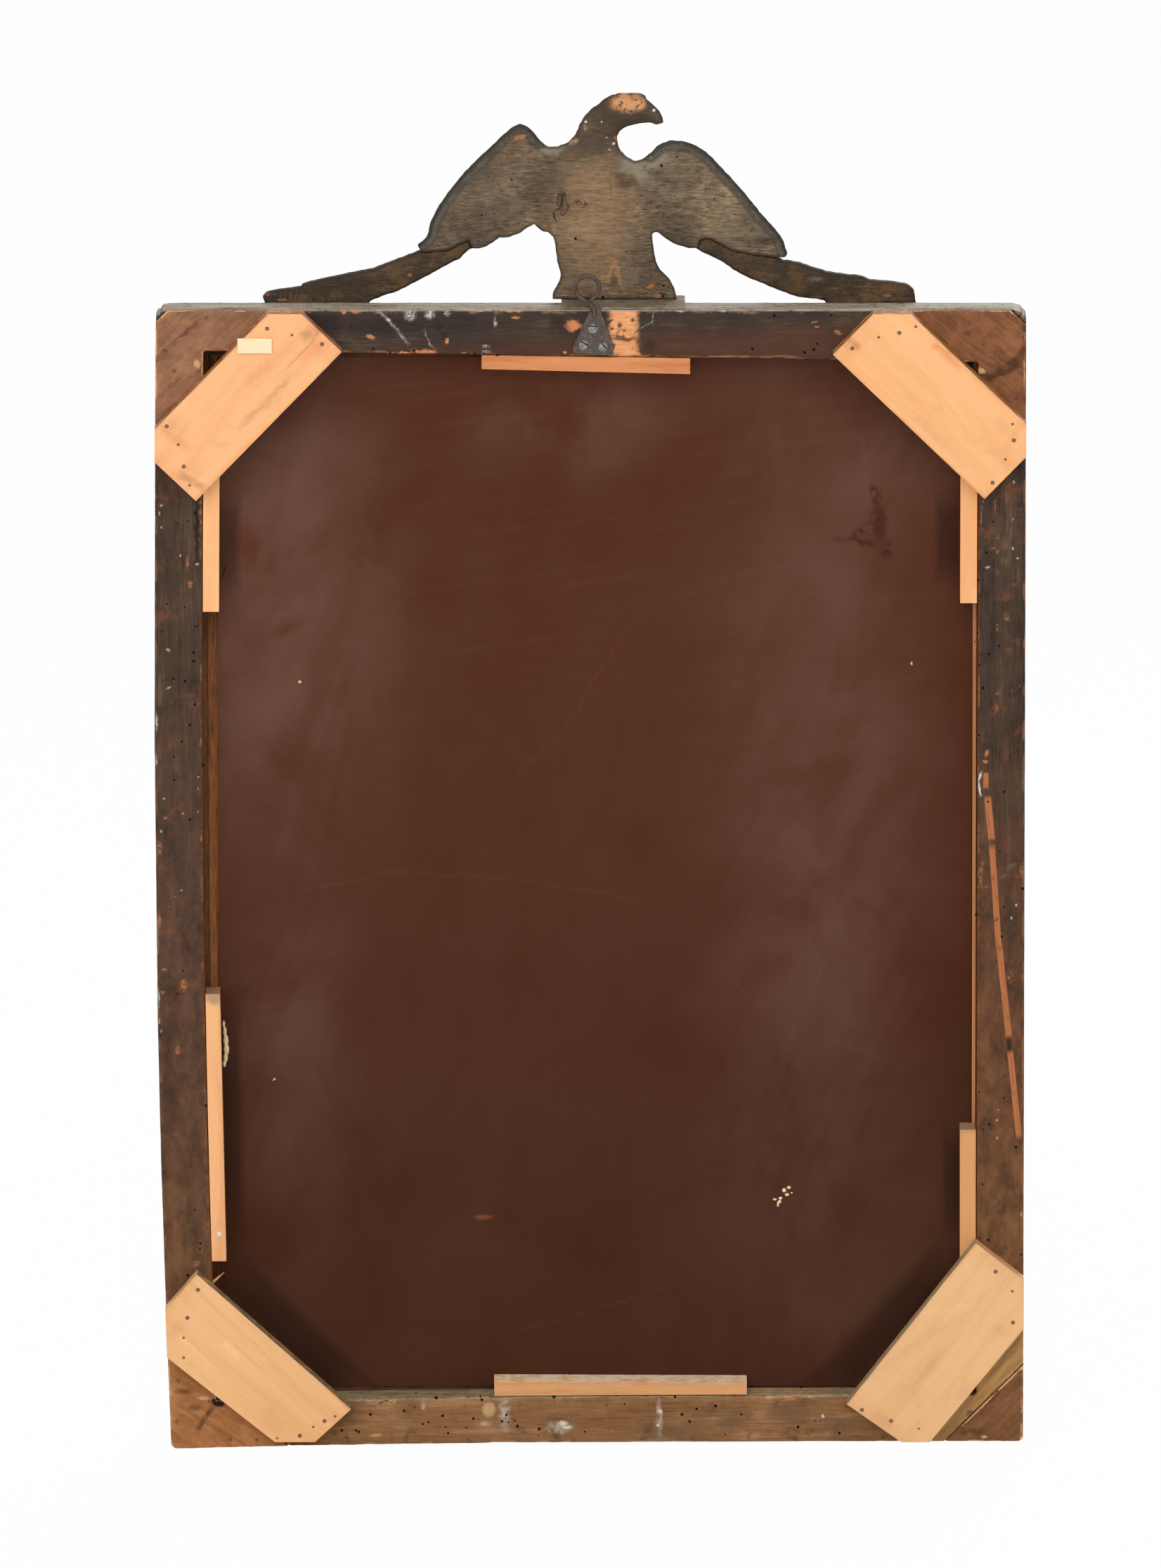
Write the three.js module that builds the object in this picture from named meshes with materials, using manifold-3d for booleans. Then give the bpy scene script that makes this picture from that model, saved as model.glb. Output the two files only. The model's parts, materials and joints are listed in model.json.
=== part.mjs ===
// A rectangular giltwood wall mirror with a carved eagle crest, modelled from its back.
//
// Millimetres, +Z up. The front faces -Y and the back, with its iron hanger, faces +Y.
// Left and right are as seen from behind, so left is +X. Places are first worked out with
// X = 0 on the middle of the frame, Y = 0 on the back of the rails and Z = 0 under the
// frame, and the whole mirror is then moved so that the seat of the hanging loop is at 0.

import * as THREE from 'three';
import { mergeVertices } from 'three/addons/utils/BufferGeometryUtils.js';
import Module from 'manifold-3d';

const wasm = await Module();
wasm.setup();

// ---------------------------------------------------------------- driving dimensions

// Carcase: four mitred softwood rails behind the gilded mouldings.
const frameWidth = 670;
const frameHeight = 894;
const carcaseDepth = 30;
const stileWidth = 37;
const bottomRailWidth = 37;
const topRailWidthLeft = 32.5;
const topRailWidthRight = 41;
const topCornerRadius = 9;
const bottomCornerRadius = 3;

// The carcase has racked with age: its lower left corner has pulled in and dropped, and
// its left side bows out a little at mid height.
const cornerPull = 9.7;
const cornerDrop = 6;
const sideBow = 2.6;

// Clearances.
const jointGap = 0.2;
const fitGap = 0.3;

// Old plates let in across the corners, and the strip beside the lower right one.
const cornerPlateDepth = 6;
const cornerPlateReach = 92;
const smallPlateReach = 61.5;
const cornerClipLeft = 9;
const cornerClipRight = 12;

// Newer pine battens nailed across the corners.
const battenThickness = 17;
const nailDiameter = 2.6;
const nailLength = 31;
const nailRecess = 0.3;

// Mirror plate, and what wedges it in its rebate.
const glassThickness = 3;
const glassSideGap = 10;
const glassEndGap = 1;
const lathWidth = 3.2;
const slipProud = -0.5;

// Where the slips start and end. Those beside the stiles are measured from the nearer end
// of the frame, and the ones that run under a batten stop there. Those beside the rails are
// measured from the middle. Each is as wide as given at each end.
const slipUnderBatten = 82;
const leftUpperSlip = { end: 237.3, width: 12.5 };
const rightUpperSlip = { end: 230.6, width: 13 };
const leftLowerSlip = { start: 146, end: 356, width: 11.3 };
const rightLowerSlip = { end: 247.4, width: 12.4 };
const topRailSlip = { left: 84, right: -76.5, widthLeft: 11, widthRight: 12.7 };
const bottomRailSlip = { left: 79.9, right: -118.3, widthLeft: 11.3, widthRight: 9.5 };

// Gilded front moulding and the ebonised reeded slip inside it.
const mouldingSetback = 5;
const mouldingDepth = 28;
const torusRadius = 8;
const sightFillet = 4;
const lipReach = 8;
const reededSlipWidth = 15.7;
const reededSlipDepth = 7;
const reedCount = 4;

// Carved crest.
const crestBackSetback = 0.4;
const eagleBoardThickness = 20;
const eagleHeadThickness = 30;
const breastDepth = 26;
const breastWidth = 62;
const breastX = -10;
const sprayThickness = 23;
const sprayBackSetback = 2;
const carvedEdge = 1.5;
const headEdge = 4;
const plinthThickness = 2;
const plinthLeft = 22.8;
const plinthRight = -72.4;
const plinthFront = 50;
const dowelDiameter = 8;
const dowelSetback = 10.5;
const dowelInEagle = 20;
const dowelInMoulding = 17;
const dowelPlaces = [8, -40];

// Iron hanger and its screws.
const hangerPlateThickness = 2;
const rodDiameter = 3.4;
const loopRadius = 9.3;
const loopX = 3;
const loopRise = 17.9;
const loopLean = 2;
const loopStart = -45;
const loopEnd = 215;
const screwHeadDiameter = 7.5;
const screwHeadRise = 1.3;
const screwShankDiameter = 3.6;
const screwLength = 16;
const screwSlotWidth = 0.9;
const screwSlotDepth = 0.8;

// Cork pad left on the upper left batten.
const padLength = 27;
const padHeight = 12;
const padFromCorner = [76.5, 24.6];
const padThickness = 2.5;

// ---------------------------------------------------------------- derived places

const halfWidth = frameWidth / 2;
const rebateHalfWidth = halfWidth - stileWidth;
const glassBackY = -carcaseDepth + glassThickness;
const mouldingBackY = -carcaseDepth - jointGap;
const mouldingFrontY = mouldingBackY - mouldingDepth;
const mouldingTop = frameHeight - mouldingSetback;
const lipInset = stileWidth + lipReach;
const reededSlipInset = lipInset - sightFillet;
const reededSlipBackY = -carcaseDepth - jointGap;
const reededSlipFrontY = reededSlipBackY - reededSlipDepth;
const crestBackY = -carcaseDepth - crestBackSetback;
const eagleFrontY = crestBackY - eagleBoardThickness;
const plinthTop = frameHeight + plinthThickness;
const dowelY = -carcaseDepth - dowelSetback;
const loopZ = frameHeight + loopRise;
const loopSeatZ = loopZ + loopRadius - rodDiameter / 2;
const rodY = rodDiameter / 2 + fitGap;
const loopSeatY = rodY + (loopLean * (90 - loopStart)) / (loopEnd - loopStart);

// ---------------------------------------------------------------- finishes

const finish = (color, roughness, metalness = 0) =>
  new THREE.MeshStandardMaterial({ color, roughness, metalness });

const oldStainedPine = finish(0x453a30, 0.85);
const oldBareWood = finish(0x8c5f41, 0.85);
const oliveOldWood = finish(0x96783c, 0.8);
const newPine = finish(0xebb07c, 0.65);
const slipPine = finish(0xe1a06e, 0.65);
const gildedWood = finish(0xc39a4a, 0.35, 0.8);
const carvedWood = finish(0x6e5f4c, 0.75);
const carvedLeafWood = finish(0x554128, 0.75);
const ebonised = finish(0x15110f, 0.35);
const silveredGlass = finish(0x42261c, 0.3);
const forgedIron = finish(0x3a3632, 0.55, 0.8);
const steel = finish(0x8c8c8a, 0.4, 0.9);
const nailIron = finish(0x5a524c, 0.6, 0.8);
const corkPad = finish(0xecdcb9, 0.9);

// ---------------------------------------------------------------- solids and booleans

function solidOf(geometry) {
  const bare = geometry.clone();
  bare.deleteAttribute('normal');
  bare.deleteAttribute('uv');
  const merged = mergeVertices(bare, 1e-4);
  return new wasm.Manifold(new wasm.Mesh({
    numProp: 3,
    vertProperties: new Float32Array(merged.attributes.position.array),
    triVerts: new Uint32Array(merged.index.array),
  }));
}

function geometryOf(solid) {
  const mesh = solid.getMesh();
  const geometry = new THREE.BufferGeometry();
  geometry.setAttribute('position', new THREE.BufferAttribute(mesh.vertProperties, 3));
  geometry.setIndex(new THREE.BufferAttribute(mesh.triVerts, 1));
  return geometry;
}

function cut(geometry, ...tools) {
  let solid = solidOf(geometry);
  for (const tool of tools) solid = solid.subtract(solidOf(tool));
  return geometryOf(solid);
}

function join(first, ...others) {
  let solid = solidOf(first);
  for (const other of others) solid = solid.add(solidOf(other));
  return geometryOf(solid);
}

function keepInside(geometry, envelope) {
  return geometryOf(solidOf(geometry).intersect(solidOf(envelope)));
}

// Where a point of the square-built frame lies on the racked one.
function racked(x, z) {
  const across = x / frameWidth + 0.5;
  const height = THREE.MathUtils.clamp(z / frameHeight, -0.1, 1);
  const low = (1 - height) ** 3;
  const bow = sideBow * Math.sin(Math.PI * Math.max(height, 0));
  return new THREE.Vector2(
    x + across * (bow - cornerPull * low),
    z - cornerDrop * across ** 3 * low,
  );
}

// Points along a straight line, close enough together to follow the racked frame.
function alongLine(a, b, steps = 1) {
  const points = [];
  for (let i = 0; i < steps; i += 1) {
    points.push([a[0] + ((b[0] - a[0]) * i) / steps, a[1] + ((b[1] - a[1]) * i) / steps]);
  }
  return points;
}

// A flat piece: an outline in X and Z, and its thickness from backY towards the front.
function slab(outline, backY, thickness, options = {}) {
  const shape = new THREE.Shape(outline.map(([x, z]) => racked(x, z)));
  const geometry = new THREE.ExtrudeGeometry(shape, {
    depth: thickness, bevelEnabled: false, ...options,
  });
  geometry.rotateX(Math.PI / 2);
  geometry.translate(0, backY, 0);
  return geometry;
}

// A round bar along Y, from backY towards the front.
function pin(x, z, radius, backY, length, sides = 10) {
  const geometry = new THREE.CylinderGeometry(radius, radius, length, sides);
  const place = racked(x, z);
  geometry.translate(place.x, backY - length / 2, place.y);
  return geometry;
}

// A round bar along Z.
function post(x, y, lowZ, highZ, radius, sides = 12) {
  const geometry = new THREE.CylinderGeometry(radius, radius, highZ - lowZ, sides);
  geometry.rotateX(Math.PI / 2);
  geometry.translate(x, y, (lowZ + highZ) / 2);
  return geometry;
}

const mirror = new THREE.Group();
mirror.position.set(-loopX, -loopSeatY, -loopSeatZ);

function addPiece(name, geometry, material) {
  const piece = new THREE.Mesh(geometry, material);
  piece.name = name;
  mirror.add(piece);
}

// ---------------------------------------------------------------- the frame's corners

// sideX and sideZ point from the middle of the frame to each corner.
const corners = {
  top_left: { sideX: 1, sideZ: 1, railWidth: topRailWidthLeft, radius: topCornerRadius },
  top_right: { sideX: -1, sideZ: 1, railWidth: topRailWidthRight, radius: topCornerRadius },
  bottom_right: { sideX: -1, sideZ: -1, railWidth: bottomRailWidth, radius: bottomCornerRadius },
  bottom_left: { sideX: 1, sideZ: -1, railWidth: bottomRailWidth, radius: bottomCornerRadius },
};

// A place measured inwards from a corner: in along the rail, and down or up the stile.
function fromCorner(name, along, up) {
  const { sideX, sideZ } = corners[name];
  const edgeZ = sideZ > 0 ? frameHeight : 0;
  return [sideX * (halfWidth - along), edgeZ - sideZ * up];
}

const outerCorner = (name) => fromCorner(name, 0, 0);
const rebateCorner = (name) => fromCorner(name, stileWidth, corners[name].railWidth);

// Height of the top rail's inner edge, which isn't quite level.
function topRebateZ(x) {
  const t = (rebateHalfWidth - x) / (2 * rebateHalfWidth);
  return frameHeight - THREE.MathUtils.lerp(topRailWidthLeft, topRailWidthRight, t);
}

// The outline of the whole frame with its worn, rounded corners.
function frameOutline() {
  const outline = [];
  const order = ['top_right', 'top_left', 'bottom_left', 'bottom_right'];
  const arcSteps = 4;
  const sideSteps = 8;
  order.forEach((name, i) => {
    const { sideX, sideZ, radius } = corners[name];
    const [cx, cz] = fromCorner(name, radius, radius);
    const start = Math.atan2(sideZ, sideX) + Math.PI / 4;
    for (let k = 0; k <= arcSteps; k += 1) {
      const angle = start - (k / arcSteps) * (Math.PI / 2);
      outline.push([cx + radius * Math.cos(angle), cz + radius * Math.sin(angle)]);
    }
    const next = corners[order[(i + 1) % 4]];
    const [nx, nz] = fromCorner(order[(i + 1) % 4], next.radius, next.radius);
    const leave = outline[outline.length - 1];
    const meet = Math.atan2(next.sideZ, next.sideX) + Math.PI / 4;
    const arrive = [nx + next.radius * Math.cos(meet), nz + next.radius * Math.sin(meet)];
    outline.push(...alongLine(leave, arrive, sideSteps).slice(1));
  });
  return outline.reverse();
}

const outlineBlock = () => slab(frameOutline(), battenThickness + 5, carcaseDepth + battenThickness + 10);

// ---------------------------------------------------------------- carcase

// Battens are boards laid across a corner and sawn off flush with the frame's edges. The
// inner long edge of each runs from railEnd to stileEnd, measured from the corner, and
// its board is this wide. Nails hold it to the rail and to the stile.
const battens = {
  top_left: {
    railEnd: [143.5, 29.6], stileEnd: [32, 146.6], width: 62,
    nails: [[86, 11.3], [128.3, 23.5], [9.2, 87.9], [22.5, 119.5]],
  },
  top_right: {
    railEnd: [148.9, 31.8], stileEnd: [32, 145], width: 64.5,
    nails: [[97.9, 14.6], [134, 26.8], [9.5, 98.9], [25.8, 132.2]],
  },
  bottom_right: {
    railEnd: [138.6, 33.6], stileEnd: [37.7, 161.7], width: 72,
    nails: [[103.9, 20.3], [126.7, 29.1], [8.4, 98.5], [22, 138.9]],
  },
  bottom_left: {
    railEnd: [142.7, 32.2], stileEnd: [25.6, 139.9], width: 65,
    nails: [[101.7, 12], [121.5, 23.2], [17.1, 106], [26.1, 127.8]],
  },
};

const screwPlaces = [
  { x: -1.5, drop: 14.3, slotAngle: 0 },
  { x: 5.6, drop: 27.3, slotAngle: 30 },
  { x: -9.4, drop: 28.8, slotAngle: 50 },
];

// The outline of a piece let in across a corner, between two diagonals that cross the
// frame's edges at near and far from the corner, and cut out round the rebate. grown is
// how far it goes past its own edges, to cut its recess.
function cornerBand(name, near, far, grown) {
  const rail = corners[name].railWidth + grown;
  const stile = stileWidth + grown;
  const edge = -grown;
  const nearSum = near - grown * Math.SQRT2;
  const farSum = far + grown * Math.SQRT2;
  const roundRebate = far > stileWidth + corners[name].railWidth
    ? [[farSum - rail, rail], [stile, rail], [stile, farSum - stile]] : [];
  const points = [
    [nearSum - edge, edge], [farSum - edge, edge], ...roundRebate,
    [edge, farSum - edge], [edge, nearSum - edge],
  ];
  return points.map(([along, up]) => fromCorner(name, along, up));
}

// Outlines turned to run the same way round, whichever corner they belong to.
function counterClockwise(outline) {
  const area = THREE.ShapeUtils.area(outline.map(([x, z]) => new THREE.Vector2(x, z)));
  return area < 0 ? [...outline].reverse() : outline;
}

// Each is a board let into the backs of the rails; grown by a clearance it is its recess.
const letIn = (name, near, far) => (grown) => slab(
  counterClockwise(cornerBand(name, near, far, grown)), grown, cornerPlateDepth + 2 * grown);

const cornerPlates = {
  top_left: letIn('top_left', cornerClipLeft, cornerPlateReach),
  top_right: letIn('top_right', cornerClipRight, cornerPlateReach),
  bottom_left: letIn('bottom_left', bottomCornerRadius, cornerPlateReach),
  bottom_right: letIn('bottom_right', bottomCornerRadius, smallPlateReach),
};
const braceStrip = letIn('bottom_right', smallPlateReach + 2 * fitGap, cornerPlateReach);

// A blind hole in the back of the rails, under a nail.
function nailHole(corner, place) {
  const [x, z] = fromCorner(corner, ...place);
  const depth = nailLength + nailRecess + fitGap;
  return pin(x, z, nailDiameter / 2 + fitGap, battenThickness, depth);
}

function screwHole(place) {
  return pin(place.x, frameHeight - place.drop, screwShankDiameter / 2 + fitGap,
    hangerPlateThickness, hangerPlateThickness + screwLength + fitGap);
}

const sides = {
  top_rail: ['top_left', 'top_right'],
  right_stile: ['top_right', 'bottom_right'],
  bottom_rail: ['bottom_right', 'bottom_left'],
  left_stile: ['bottom_left', 'top_left'],
};

function shifted(from, to, distance) {
  const length = Math.hypot(to[0] - from[0], to[1] - from[1]);
  return [
    from[0] + ((to[0] - from[0]) * distance) / length,
    from[1] + ((to[1] - from[1]) * distance) / length,
  ];
}

function carcaseRail(name) {
  const [a, b] = sides[name];
  const steps = 8;
  const outerA = shifted(outerCorner(a), outerCorner(b), jointGap);
  const outerB = shifted(outerCorner(b), outerCorner(a), jointGap);
  const innerA = shifted(rebateCorner(a), rebateCorner(b), jointGap);
  const innerB = shifted(rebateCorner(b), rebateCorner(a), jointGap);
  const outline = [
    ...alongLine(outerA, outerB, steps), outerB,
    ...alongLine(innerB, innerA, steps), innerA,
  ];
  const board = keepInside(slab(counterClockwise(outline), 0, carcaseDepth), outlineBlock());
  const cutters = [];
  for (const corner of [a, b]) {
    cutters.push(cornerPlates[corner](fitGap));
    for (const place of battens[corner].nails) cutters.push(nailHole(corner, place));
  }
  if (name === 'top_rail') cutters.push(...screwPlaces.map(screwHole));
  if (sides[name].includes('bottom_right')) cutters.push(braceStrip(fitGap));
  return cut(board, ...cutters);
}

for (const name of Object.keys(sides)) addPiece(name, carcaseRail(name), oldStainedPine);

for (const name of Object.keys(cornerPlates)) {
  const plate = keepInside(cornerPlates[name](0), outlineBlock());
  addPiece(`corner_plate_${name}`, plate, oldBareWood);
}
addPiece('brace_strip_bottom_right', keepInside(braceStrip(0), outlineBlock()), oliveOldWood);

// ---------------------------------------------------------------- battens and nails

// The part of a convex outline that lies inside the unracked frame's rectangle.
function clippedToFrame(outline) {
  const edges = [
    { axis: 0, limit: halfWidth, keep: -1 }, { axis: 0, limit: -halfWidth, keep: 1 },
    { axis: 1, limit: frameHeight, keep: -1 }, { axis: 1, limit: 0, keep: 1 },
  ];
  let points = outline;
  for (const { axis, limit, keep } of edges) {
    const inside = (p) => keep * (p[axis] - limit) >= 0;
    const kept = [];
    points.forEach((p, i) => {
      const q = points[(i + 1) % points.length];
      if (inside(p)) kept.push(p);
      if (inside(p) !== inside(q)) {
        const t = (limit - p[axis]) / (q[axis] - p[axis]);
        kept.push([p[0] + t * (q[0] - p[0]), p[1] + t * (q[1] - p[1])]);
      }
    });
    points = kept;
  }
  return points;
}

function battenOutline(name) {
  const { railEnd, stileEnd, width } = battens[name];
  const along = [stileEnd[0] - railEnd[0], stileEnd[1] - railEnd[1]];
  const length = Math.hypot(...along);
  const outward = [-along[1] / length, along[0] / length];
  const board = [
    railEnd, stileEnd,
    [stileEnd[0] + outward[0] * width, stileEnd[1] + outward[1] * width],
    [railEnd[0] + outward[0] * width, railEnd[1] + outward[1] * width],
  ];
  return clippedToFrame(board.map(([a, u]) => fromCorner(name, a, u)));
}

for (const [name, { nails }] of Object.entries(battens)) {
  const board = slab(counterClockwise(battenOutline(name)), battenThickness, battenThickness);
  addPiece(`batten_${name}`, cut(board, ...nails.map((place) => nailHole(name, place))), newPine);
  nails.forEach((place, i) => {
    const [x, z] = fromCorner(name, ...place);
    const nail = pin(x, z, nailDiameter / 2, battenThickness - nailRecess, nailLength, 8);
    addPiece(`nail_${name}_${i + 1}`, nail, nailIron);
  });
}

const padPlace = fromCorner('top_left', ...padFromCorner);
addPiece('cork_pad', slab([
  [padPlace[0] - padLength / 2, padPlace[1] - padHeight / 2],
  [padPlace[0] + padLength / 2, padPlace[1] - padHeight / 2],
  [padPlace[0] + padLength / 2, padPlace[1] + padHeight / 2],
  [padPlace[0] - padLength / 2, padPlace[1] + padHeight / 2],
], battenThickness + padThickness, padThickness), corkPad);

// ---------------------------------------------------------------- mirror plate and wedges

const glassLeft = rebateHalfWidth - glassSideGap;
const glassRight = -rebateHalfWidth + lathWidth + 2 * fitGap;
const glassBottom = bottomRailWidth + glassEndGap;
const glassTop = frameHeight - topRailWidthRight - glassEndGap;

const plate = new THREE.BoxGeometry(
  glassLeft - glassRight, glassThickness, glassTop - glassBottom);
plate.translate(
  (glassLeft + glassRight) / 2, glassBackY - glassThickness / 2, (glassTop + glassBottom) / 2);
addPiece('mirror_plate', plate, silveredGlass);

// A lath fills the rebate beside the right edge of the plate.
const lathOutline = [
  ...alongLine([-rebateHalfWidth + fitGap, glassBottom], [-rebateHalfWidth + fitGap, glassTop], 4),
  [-rebateHalfWidth + fitGap, glassTop],
  [-rebateHalfWidth + fitGap + lathWidth, glassTop],
  [-rebateHalfWidth + fitGap + lathWidth, glassBottom],
];
addPiece('spacer_lath', slab(counterClockwise(lathOutline), glassBackY, glassThickness), slipPine);

// Pine slips nailed into the rebate hold the plate.
const slipBackY = slipProud;
const slipDepth = slipBackY - glassBackY - jointGap;

function stileSlip(side, lowZ, highZ, width) {
  const wall = side * (rebateHalfWidth - fitGap);
  const face = side * (rebateHalfWidth - fitGap - width);
  return slab(counterClockwise([
    ...alongLine([wall, lowZ], [wall, highZ], 4), [wall, highZ],
    ...alongLine([face, highZ], [face, lowZ], 4), [face, lowZ],
  ]), slipBackY, slipDepth);
}

function topSlip({ left, right, widthLeft, widthRight }) {
  return slab(counterClockwise([
    [left, topRebateZ(left) - fitGap], [right, topRebateZ(right) - fitGap],
    [right, topRebateZ(right) - widthRight], [left, topRebateZ(left) - widthLeft],
  ]), slipBackY, slipDepth);
}

function bottomSlip({ left, right, widthLeft, widthRight }) {
  const floor = bottomRailWidth + fitGap;
  return slab(counterClockwise([
    ...alongLine([left, floor], [right, floor], 4), [right, floor],
    ...alongLine([right, floor + widthRight], [left, floor + widthLeft], 4),
    [left, floor + widthLeft],
  ]), slipBackY, slipDepth);
}

const upperSlip = (side, { end, width }) => stileSlip(
  side, frameHeight - end, frameHeight - slipUnderBatten, width);
addPiece('slip_top', topSlip(topRailSlip), slipPine);
addPiece('slip_bottom', bottomSlip(bottomRailSlip), slipPine);
addPiece('slip_left_upper', upperSlip(1, leftUpperSlip), slipPine);
addPiece('slip_left_lower', stileSlip(
  1, leftLowerSlip.start, leftLowerSlip.end, leftLowerSlip.width), slipPine);
addPiece('slip_right_upper', upperSlip(-1, rightUpperSlip), slipPine);
addPiece('slip_right_lower', stileSlip(
  -1, slipUnderBatten, rightLowerSlip.end, rightLowerSlip.width), slipPine);

// ---------------------------------------------------------------- front mouldings

// A length of moulding along one side, mitred at both ends. The profile is a closed list
// of [inset from the frame's edge, y], running anticlockwise as seen along the length.
function mouldingLength(name, profile, steps) {
  const [a, b] = sides[name];
  const positions = [];
  for (let i = 0; i <= steps; i += 1) {
    for (const [inset, y] of profile) {
      const from = fromCorner(a, inset, inset);
      const to = fromCorner(b, inset, inset);
      const start = shifted(from, to, jointGap);
      const end = shifted(to, from, jointGap);
      const t = i / steps;
      const place = racked(
        THREE.MathUtils.lerp(start[0], end[0], t), THREE.MathUtils.lerp(start[1], end[1], t));
      positions.push(place.x, y, place.y);
    }
  }
  return loftedRings(positions, profile.map(([inset, y]) => new THREE.Vector2(inset, y)), steps);
}

// Joins rings of equal point counts into one closed solid with flat ends.
function loftedRings(positions, section, steps) {
  const count = section.length;
  const indices = [];
  for (let i = 0; i < steps; i += 1) {
    for (let k = 0; k < count; k += 1) {
      const next = (k + 1) % count;
      const [p, q] = [i * count + k, i * count + next];
      const [r, s] = [(i + 1) * count + k, (i + 1) * count + next];
      indices.push(p, q, s, p, s, r);
    }
  }
  const last = steps * count;
  for (const [u, v, w] of THREE.ShapeUtils.triangulateShape(section, [])) {
    indices.push(u, w, v, last + u, last + v, last + w);
  }
  const geometry = new THREE.BufferGeometry();
  geometry.setAttribute('position', new THREE.Float32BufferAttribute(positions, 3));
  geometry.setIndex(indices);
  return outwardFacing(geometry);
}

// Turns a closed geometry right way out where its rings ran the other way.
function outwardFacing(geometry) {
  const p = geometry.attributes.position;
  const index = geometry.index.array;
  let volume = 0;
  for (let i = 0; i < index.length; i += 3) {
    const [a, b, c] = [0, 1, 2].map((k) => new THREE.Vector3().fromBufferAttribute(p, index[i + k]));
    volume += a.dot(b.cross(c));
  }
  if (volume < 0) {
    for (let i = 0; i < index.length; i += 3) {
      [index[i + 1], index[i + 2]] = [index[i + 2], index[i + 1]];
    }
  }
  return geometry;
}

const arcPoints = (cx, cy, radius, fromDegrees, toDegrees, steps) =>
  Array.from({ length: steps + 1 }, (_, i) => {
    const angle = THREE.MathUtils.degToRad(
      THREE.MathUtils.lerp(fromDegrees, toDegrees, i / steps));
    return [cx + radius * Math.cos(angle), cy + radius * Math.sin(angle)];
  });

// Torus at the outside, a deep cove, and a fillet at the sight edge. The back of the
// lip is cut away for the reeded slip.
function mouldingProfile() {
  const torusX = mouldingSetback + torusRadius;
  const torusY = mouldingFrontY + torusRadius;
  const coveStart = torusX + torusRadius;
  const coveFloorY = reededSlipFrontY - jointGap - sightFillet;
  const coveSteps = 5;
  const covePoints = Array.from({ length: coveSteps + 1 }, (_, i) => {
    const t = i / coveSteps;
    return [
      THREE.MathUtils.lerp(coveStart, lipInset - sightFillet, t * t),
      THREE.MathUtils.lerp(torusY, coveFloorY, Math.sin((t * Math.PI) / 2)),
    ];
  });
  return [
    [mouldingSetback, mouldingBackY],
    ...arcPoints(torusX, torusY, torusRadius, 180, 350, 8),
    ...covePoints,
    [lipInset, coveFloorY],
    [lipInset, reededSlipFrontY - jointGap],
    [reededSlipInset - fitGap, reededSlipFrontY - jointGap],
    [reededSlipInset - fitGap, mouldingBackY],
  ];
}

function reededProfile() {
  const start = reededSlipInset;
  const end = start + reededSlipWidth;
  const firstReed = lipInset + fitGap;
  const reedWidth = (end - firstReed) / reedCount;
  const points = [[start, reededSlipBackY], [start, reededSlipFrontY]];
  for (let i = 0; i < reedCount; i += 1) {
    const middle = firstReed + reedWidth * (i + 0.5);
    points.push(...arcPoints(middle, reededSlipFrontY + reedWidth / 2, reedWidth / 2, 180, 360, 4)
      .slice(i === 0 ? 0 : 1));
  }
  points.push([end, reededSlipBackY]);
  return points;
}

const topMouldingHoles = dowelPlaces.map((x) => post(
  x, dowelY, mouldingTop - dowelInMoulding - fitGap, mouldingTop + 1,
  dowelDiameter / 2 + fitGap));

for (const name of Object.keys(sides)) {
  const side = name.split('_')[0];
  const moulding = mouldingLength(name, mouldingProfile(), 8);
  const holes = side === 'top' ? topMouldingHoles : [];
  addPiece(`moulding_${side}`, cut(moulding, ...holes), gildedWood);
  addPiece(`reeded_slip_${side}`, mouldingLength(name, reededProfile(), 8), ebonised);
}

// ---------------------------------------------------------------- crest

// Outlines of the crest, as [x, height above the frame]. They are drawn from behind.
const eagleBoardOutline = {
  rightShoulder: [
    [-26, 112.3], [-32.5, 110.6], [-39.1, 111.7], [-45.6, 116.7], [-50.5, 121.8],
    [-58.6, 125.6], [-66.7, 126.1], [-77, 123.4], [-87.9, 116.7], [-100.9, 102.8],
    [-113.9, 88.4], [-126.9, 72.3], [-140.5, 56.3], [-147, 46.8], [-150.8, 35.7],
    [-148.1, 33], [-134, 34], [-119.3, 36.5], [-108, 39], [-98, 44.5], [-91, 47.6],
    [-84.5, 46.2],
  ],
  rightNotch: [
    [-82.5, 40.2], [-73.2, 40.7], [-63.2, 44.6], [-57.5, 47.9], [-51.5, 52.3],
    [-47.6, 51.5], [-47.2, 46.8], [-49.1, 33.5], [-52.6, 24.1], [-57.5, 19.1],
    [-61.6, 13.8], [-64, 8.6], [-66.2, 0],
  ],
  leftFoot: [
    [29.3, 0], [29.3, 5.2], [26, 11.1], [23.3, 18.5], [25.5, 28.2], [27.1, 39.6],
    [28.8, 49], [33, 52.4], [38, 54], [43.9, 59.4], [49, 56.5], [54.8, 52.4],
    [63.5, 49], [70.8, 48.5], [80.8, 41.8], [90.6, 40.4],
  ],
  leftWing: [
    [94, 46.6], [102, 43], [110, 38.6], [119, 38.2], [129.1, 37.4], [133.7, 42.4],
    [127, 50.7], [124, 62.9], [115, 80.1], [99, 100.6], [80.8, 119.2], [63.5, 135],
    [54.8, 139.5], [46.4, 135.6], [39.6, 127.2], [33.1, 121.6], [25.5, 121.4],
  ],
};

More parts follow.
